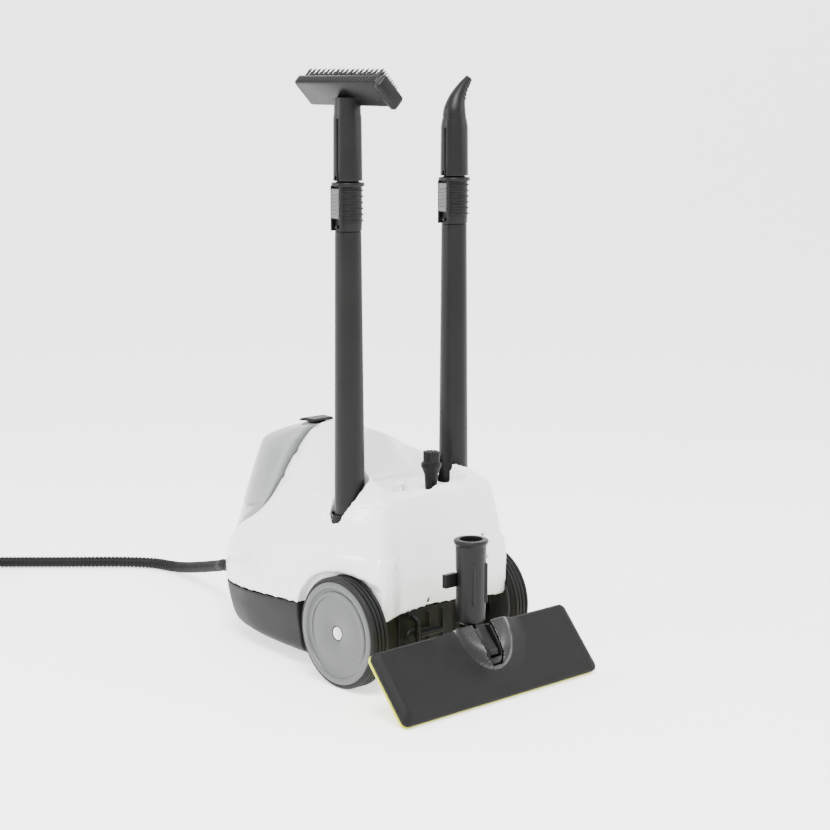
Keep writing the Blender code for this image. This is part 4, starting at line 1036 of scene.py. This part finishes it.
plate_rows = [plate_ring(1, 1, 1, 8), plate_ring(0.2, 0.2, 0.2, 8), plate_ring(0, 0, 0, 8),
              plate_ring(0, 0, 0, 8),
              plate_ring(0.7, 0.5, 0.9, 7.6), plate_ring(7.6, 3.2, 11.4, 5.6), plate_ring(9, 4, 13, 5)]
sole = bmesh.new()
skin_rows(sole, [[on_plate(x, y, h) for x, y in ring] for ring,
                 h in zip(plate_rows, (0, 0.5, 1.2, 4.6, 5.4, 10.5, 11))])
sole = scrap(sole)
hill = bmesh.new()
spots = [[(x, y) for x in [4 * i - 84 for i in range(43)]] for y in [3.4 + 3.4 * j for j in range(22)]]
top_face = [[hill.verts.new(on_plate(x, y, 10.6 + bump_height(x, y))) for x, y in row] for row in spots]
low_face = [[hill.verts.new(on_plate(x, y, 8)) for x, y in row] for row in spots]
for j in range(21):
    for i in range(42):
        hill.faces.new((top_face[j][i], top_face[j][i + 1], top_face[j + 1][i + 1], top_face[j + 1][i]))
        hill.faces.new((low_face[j + 1][i], low_face[j + 1][i + 1], low_face[j][i + 1], low_face[j][i]))
for j in range(21):
    for i in (0, 42):
        hill.faces.new((top_face[j][i], top_face[j + 1][i], low_face[j + 1][i], low_face[j][i]))
for i in range(42):
    for j in (0, 21):
        hill.faces.new((top_face[j][i], top_face[j][i + 1], low_face[j][i + 1], low_face[j][i]))
carve(sole, scrap(hill), operation="UNION")
pocket_line = [(0, 56), (11, 54.5), (17.5, 44), (20.2, 26), (20.8, 9), (20.8, -20), (0, -20)]
pocket_axis = LEAN @ Vector((0, 1, 0))
pocket = turned_piece("pocket", pocket_line, edge_grain, on_plate(0, 0, 9), pocket_axis, 40)
floor_of_pocket = bmesh.new()
skin_rows(floor_of_pocket,
          [[on_plate(x, y, h) for x,
            y in ((-60, -60), (60, -60), (60, 90), (-60, 90))] for h in (-60, 1.4)])
carve(pocket, scrap(floor_of_pocket))
carve(sole, pocket)
groove = bmesh.new()
groove_line = [(x, 73.2) for x in range(-136, 137, 4)]
skin_rows(groove, [[on_plate(x, y + dy, h) for dy, h in ((-0.9, 12), (0.9, 12), (0.5, 10.3),
                                                         (-0.5, 10.3))] for x, y in groove_line])
carve(sole, scrap(groove))
sole = moulding("sole_body", sole, edge_grain, 1.2, 4)
sole.data.materials.append(dark_gloss)
for face in sole.data.polygons:
    p = LEAN.inverted() @ (face.center - PLATE) * 1000
    rim = math.hypot(p.x / 40, max(p.y - 8, 0) / 50)
    if p.z > 11.2 and rim < 1.02:
        face.material_index = 1
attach(sole, "sole")
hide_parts("floor_nozzle")

# ---- floor cloth ---------------------------------------------------------------------------
# A lime microfibre cloth is held flat under the sole, as one pad as thick as the cloth and its
# pile. Its rounded edge shows as a thin bright line all round.

lime = moulded("lime_microfibre", (0.42, 0.44, 0.001), (0.6, 0.62, 0.004), (0.8, 0.95), 2200, 0.0003,
               60, 1.0)
shader_of(lime).inputs["Sheen Weight"].default_value = 0.4
cloth_rows = []
for inset, h in ((5, -3.6), (1.6, -4.0), (0.4, -3.4), (0.0, -2.4), (0.2, -1.2), (1.0, -0.5), (3, -0.3)):
    cloth_rows.append([on_plate(x, y, h) for x, y in plate_ring(inset, inset, inset, 8)])
form = bmesh.new()
skin_rows(form, cloth_rows)
cloth = new_piece("floor_nozzle_cloth", form, lime, 50)
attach(cloth, "sole")
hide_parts("floor_cloth")

# ---- yoke and socket -----------------------------------------------------------------------
# The joint's bullet-shaped yoke tilts in the sole, and the upright socket turns in the yoke by
# the hinge at the tip of its finger. A sprung latch in the socket's wall locks an extension tube.

yoke_line = [(p.x, p.y) for p in spline([(0.01, 54, 0), (10, 52.3, 0), (16.5, 42.5, 0), (19.2, 26, 0),
                                         (19.8, 9.5, 0)], 5)] + [(0.01, 9.5)]
yoke = turned_piece("yoke_body", yoke_line, satin, on_plate(0, 0, 9), pocket_axis, 56)


def plate_block(low, high):
    """A cutter squared to the sole."""
    form = bmesh.new()
    skin_rows(form, [[on_plate(x, y, h) for x, y in ((low[0], low[1]), (high[0], low[1]),
                                                     (high[0], high[1]), (low[0], high[1]))]
                     for h in (low[2], high[2])])
    return scrap(form)


carve(yoke, plate_block((-60, -60, -60), (60, 90, 9.0)), plate_block((-8.5, -30, 11.2), (8.5, 47, 60)),
      plate_block((-8.5, -30, 0), (8.5, 37, 60)))
yoke = moulding("yoke_body", yoke, satin, 0.6, 3)
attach(yoke, "yoke")
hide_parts("nozzle_yoke")

socket_line = [(13.4, 177), (16.8, 177), (19.2, 176.6), (20, 175.4), (20, 173.4), (19.2, 172.4),
               (17.7, 170), (17.2, 140), (17, 100),
               (16.5, 82), (14, 80), (0, 80), (0, 96), (13, 96)]
socket = turned_piece("socket_body", socket_line, satin, at(13, 105), (0, 0, 1), 64)
slope = Matrix.Rotation(math.radians(-43), 3, "X")
finger_line = [(-6, 8), (6, 8), (36, 6), (47.5, 5.2), (52, 2), (52, -2), (47.5, -5.2), (36, -5.2),
               (8, -6), (-6, -2)]
form = bmesh.new()
skin_rows(form, [[at(13, 105, 84) + slope @ Vector((x, a, b)) * 0.001 for a,
                  b in finger_line] for x in (-6.5, 6.5)])
carve(socket, scrap(form), operation="UNION")
for x in (-10, 10):
    carve(socket, block((13 + x - 0.9, 105 + 8, 104), (13 + x + 0.9, 105 + 16.9, 150)), operation="UNION")
carve(socket, block((22, 89, 121), (53, 100, 140)), drum(13.2, (13, 105, 96.2), (0, 0, 1), 90))
socket = moulding("socket_body", socket, satin, 0.75, 3)
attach(socket, "socket")
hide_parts("nozzle_socket")
latch = block((26.2, 91.2, 122.7), (44.8, 97.8, 138.3))
latch = moulding("latch_button", latch, black_plastic, 0.45, 3)
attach(latch, "latch")
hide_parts("socket_latch")

# ---- switch, lamp and glands ---------------------------------------------------------------
# A rocker switch and a red pilot lamp stand in the crest, and moulded glands hold the hose and
# the power cord in the base.

red_lens = moulded("red_lens", (0.35, 0.01, 0.008), (0.5, 0.016, 0.012), (0.08, 0.16), 200)
shader_of(red_lens).inputs["Transmission Weight"].default_value = 0.4
rocker = side_prism([(-6.6, 264.6), (6.6, 264.6), (7.0, 273.2), (4, 272.2), (0, 271.3), (-4, 273.2),
                     (-7.0, 275.2)], -10.8, 10.8, "YZ")
rocker.data.transform(Matrix.Translation(Vector((0, -0.120, 0))))
rocker = moulding("rocker", rocker, black_plastic, 0.5, 3)
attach(rocker, "rocker")
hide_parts("power_switch")
rim = block((-11.8, -128.3, 248.3), (11.8, -111.7, 261.8))
rim = moulding("switch_body", rim, black_plastic, 0.8, 2)
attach(rim, "root")
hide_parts("switch_housing")
lamp = turned_piece("lamp_lens", [(0, 275.4), (0.9, 275.3), (1.9, 274.9), (2.6, 274.3), (3, 273.4),
                                  (3, 262), (0, 262)],
                    red_lens, at(0, -138), (0, 0, 1), 32)
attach(lamp, "root")
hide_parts("pilot_lamp")
gland = turned_piece("hose_gland_ring", [(16, 13.4), (16, 12), (15.4, 11.5), (12.5, 11.5), (12.5, -6),
                                         (8.5, -6), (8.5, 14), (15.2, 14)],
                     black_plastic, at(24, -300, 62), (0, -1, 0), 48)
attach(gland, "root")
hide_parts("hose_gland")
gland = turned_piece("cord_gland_ring", [(10, 5), (10, 1), (9.4, 0.5), (7.5, 0.5), (7.5, -12),
                                         (4.3, -12), (4.3, 5.4), (5, 6), (9.2, 6)],
                     black_plastic, at(-58, 28, 46), (0, 1, 0), 48)
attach(gland, "root")
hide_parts("cord_gland")

# ---- steam gun -----------------------------------------------------------------------------
# The gun lies on its side within the coil. Its body is moulded in two satin charcoal shells with
# a parting groove, a grey trigger sits in its grip, and a black ribbed socket ends its barrel.

trigger_grey = moulded("trigger_grey", (0.2, 0.205, 0.205), (0.245, 0.25, 0.25), (0.3, 0.46), 1300)


def gun_at(x, y, z=0.0):
    """A place on the gun: along its barrel from muzzle to heel, down its grip, and up."""
    return (266 - x, -832 - y, 49 + z)


def gun_solid(outline, low, high, rounded=True):
    """A solid of the gun from its side view."""
    if rounded:
        outline = [(p.x, p.y) for p in spline([(x, y, 0) for x, y in outline], 3, closed=True)]
    form = bmesh.new()
    skin_rows(form, [[at(*gun_at(x, y, z)) for x, y in outline] for z in (low, high)])
    return scrap(form)


gun_line = [(-78, 12), (-60, 21.5), (-20, 24), (20, 25), (58, 18), (72, 4), (66, -8), (44, -14),
            (30, -26), (34, -52),
            (49, -86), (46, -96), (20, -98), (14, -88), (6, -50), (-2, -22), (-14, -14), (-46, -13),
            (-78, -12)]
body = gun_solid(gun_line, -16.8, 16.8, False)
carve(body, gun_solid([(-16, -12), (0, -14), (12, -40), (22, -86), (8, -86), (-20, -40)], -8.5, 8.5, False))
seam = gun_solid([(-90, -110), (90, -110), (90, 40), (-90, 40)], -0.5, 0.5, False)
core = gun_solid([(x * 0.975 + 0.2, y * 0.965 - 0.2) for x, y in gun_line], -1, 1, False)
carve(seam, core)
carve(body, seam)
body = moulding("gun_shell", body, satin, 1.0, 6)
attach(body, "root")
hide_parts("gun_body")
trigger = gun_solid([(-7.2, -21.4), (-3.7, -24.7), (4.2, -52), (11, -81.6), (4.3, -79.8), (-5.8, -52),
                     (-13.6, -17.5)], -7.8, 7.8, False)
trigger = moulding("trigger_lever", trigger, trigger_grey, 0.7, 3)
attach(trigger, "trigger")
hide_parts("gun_trigger")
muzzle_line = [(8.2, 26), (11, 26), (12.6, 25.2), (13, 24)]
for k in range(4):
    z = 20.6 - 4.6 * k
    muzzle_line += [(13.2 + 0.4 * k, z + 1.4), (12.4 + 0.4 * k, z + 0.8), (12.4 + 0.4 * k, z - 0.6),
                    (13.5 + 0.4 * k, z - 1.2)]
muzzle_line += [(15, 1), (14.6, 0.5), (8.2, 0.5)]
muzzle = turned_piece("gun_muzzle", muzzle_line, black_plastic, at(*gun_at(-78, 0)), (1, 0, 0), 48)
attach(muzzle, "root")
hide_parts("gun_nozzle")

# ---- hidden works --------------------------------------------------------------------------
# The boiler, its heater and valves, the pump and the board keep their shapes and get their own
# materials: die-cast aluminium, zinc-plated steel, brass, silicone and glass-filled resin.


def metal(name, dark, light, roughness, grain, depth):
    made = moulded(name, dark, light, roughness, grain, depth)
    shader_of(made).inputs["Metallic"].default_value = 1.0
    return made


steel = metal("zinc_plated_steel", (0.5, 0.5, 0.51), (0.66, 0.66, 0.67), (0.24, 0.4), 700, 0.00001)
for names, made in (
        (("boiler_lower", "boiler_upper"), metal("cast_aluminium", (0.42, 0.42, 0.43), (0.6, 0.6, 0.6),
                                                 (0.42, 0.6), 500, 0.0001)),
        (("wheel_axle", "axle_clip_left", "axle_clip_right", "caster_pin", "heating_element"), steel),
        (("relief_valve",), metal("brass", (0.55, 0.36, 0.1), (0.7, 0.48, 0.16), (0.25, 0.4), 700,
                                  0.00001)),
        (("boiler_gasket", "feed_hose", "steam_pipe"), moulded("clear_silicone", (0.5, 0.5, 0.47),
                                                               (0.6, 0.6, 0.57), (0.35, 0.5), 600)),
        (("control_board",), moulded("circuit_board", (0.008, 0.1, 0.03), (0.02, 0.18, 0.06),
                                     (0.3, 0.45), 400)),
        (("caster_fork", "tank_valve", "tank_coupling", "thermostat", "steam_valve", "pump"),
         black_plastic),
        (("caster_wheel",), disc_grey),
        (("descaling_cartridge",), moulded("filter_resin", (0.5, 0.4, 0.2), (0.68, 0.56, 0.32),
                                           (0.35, 0.5), 500))):
    for name in names:
        slots = bpy.data.objects[name].data.materials
        slots.clear()
        slots.append(made)
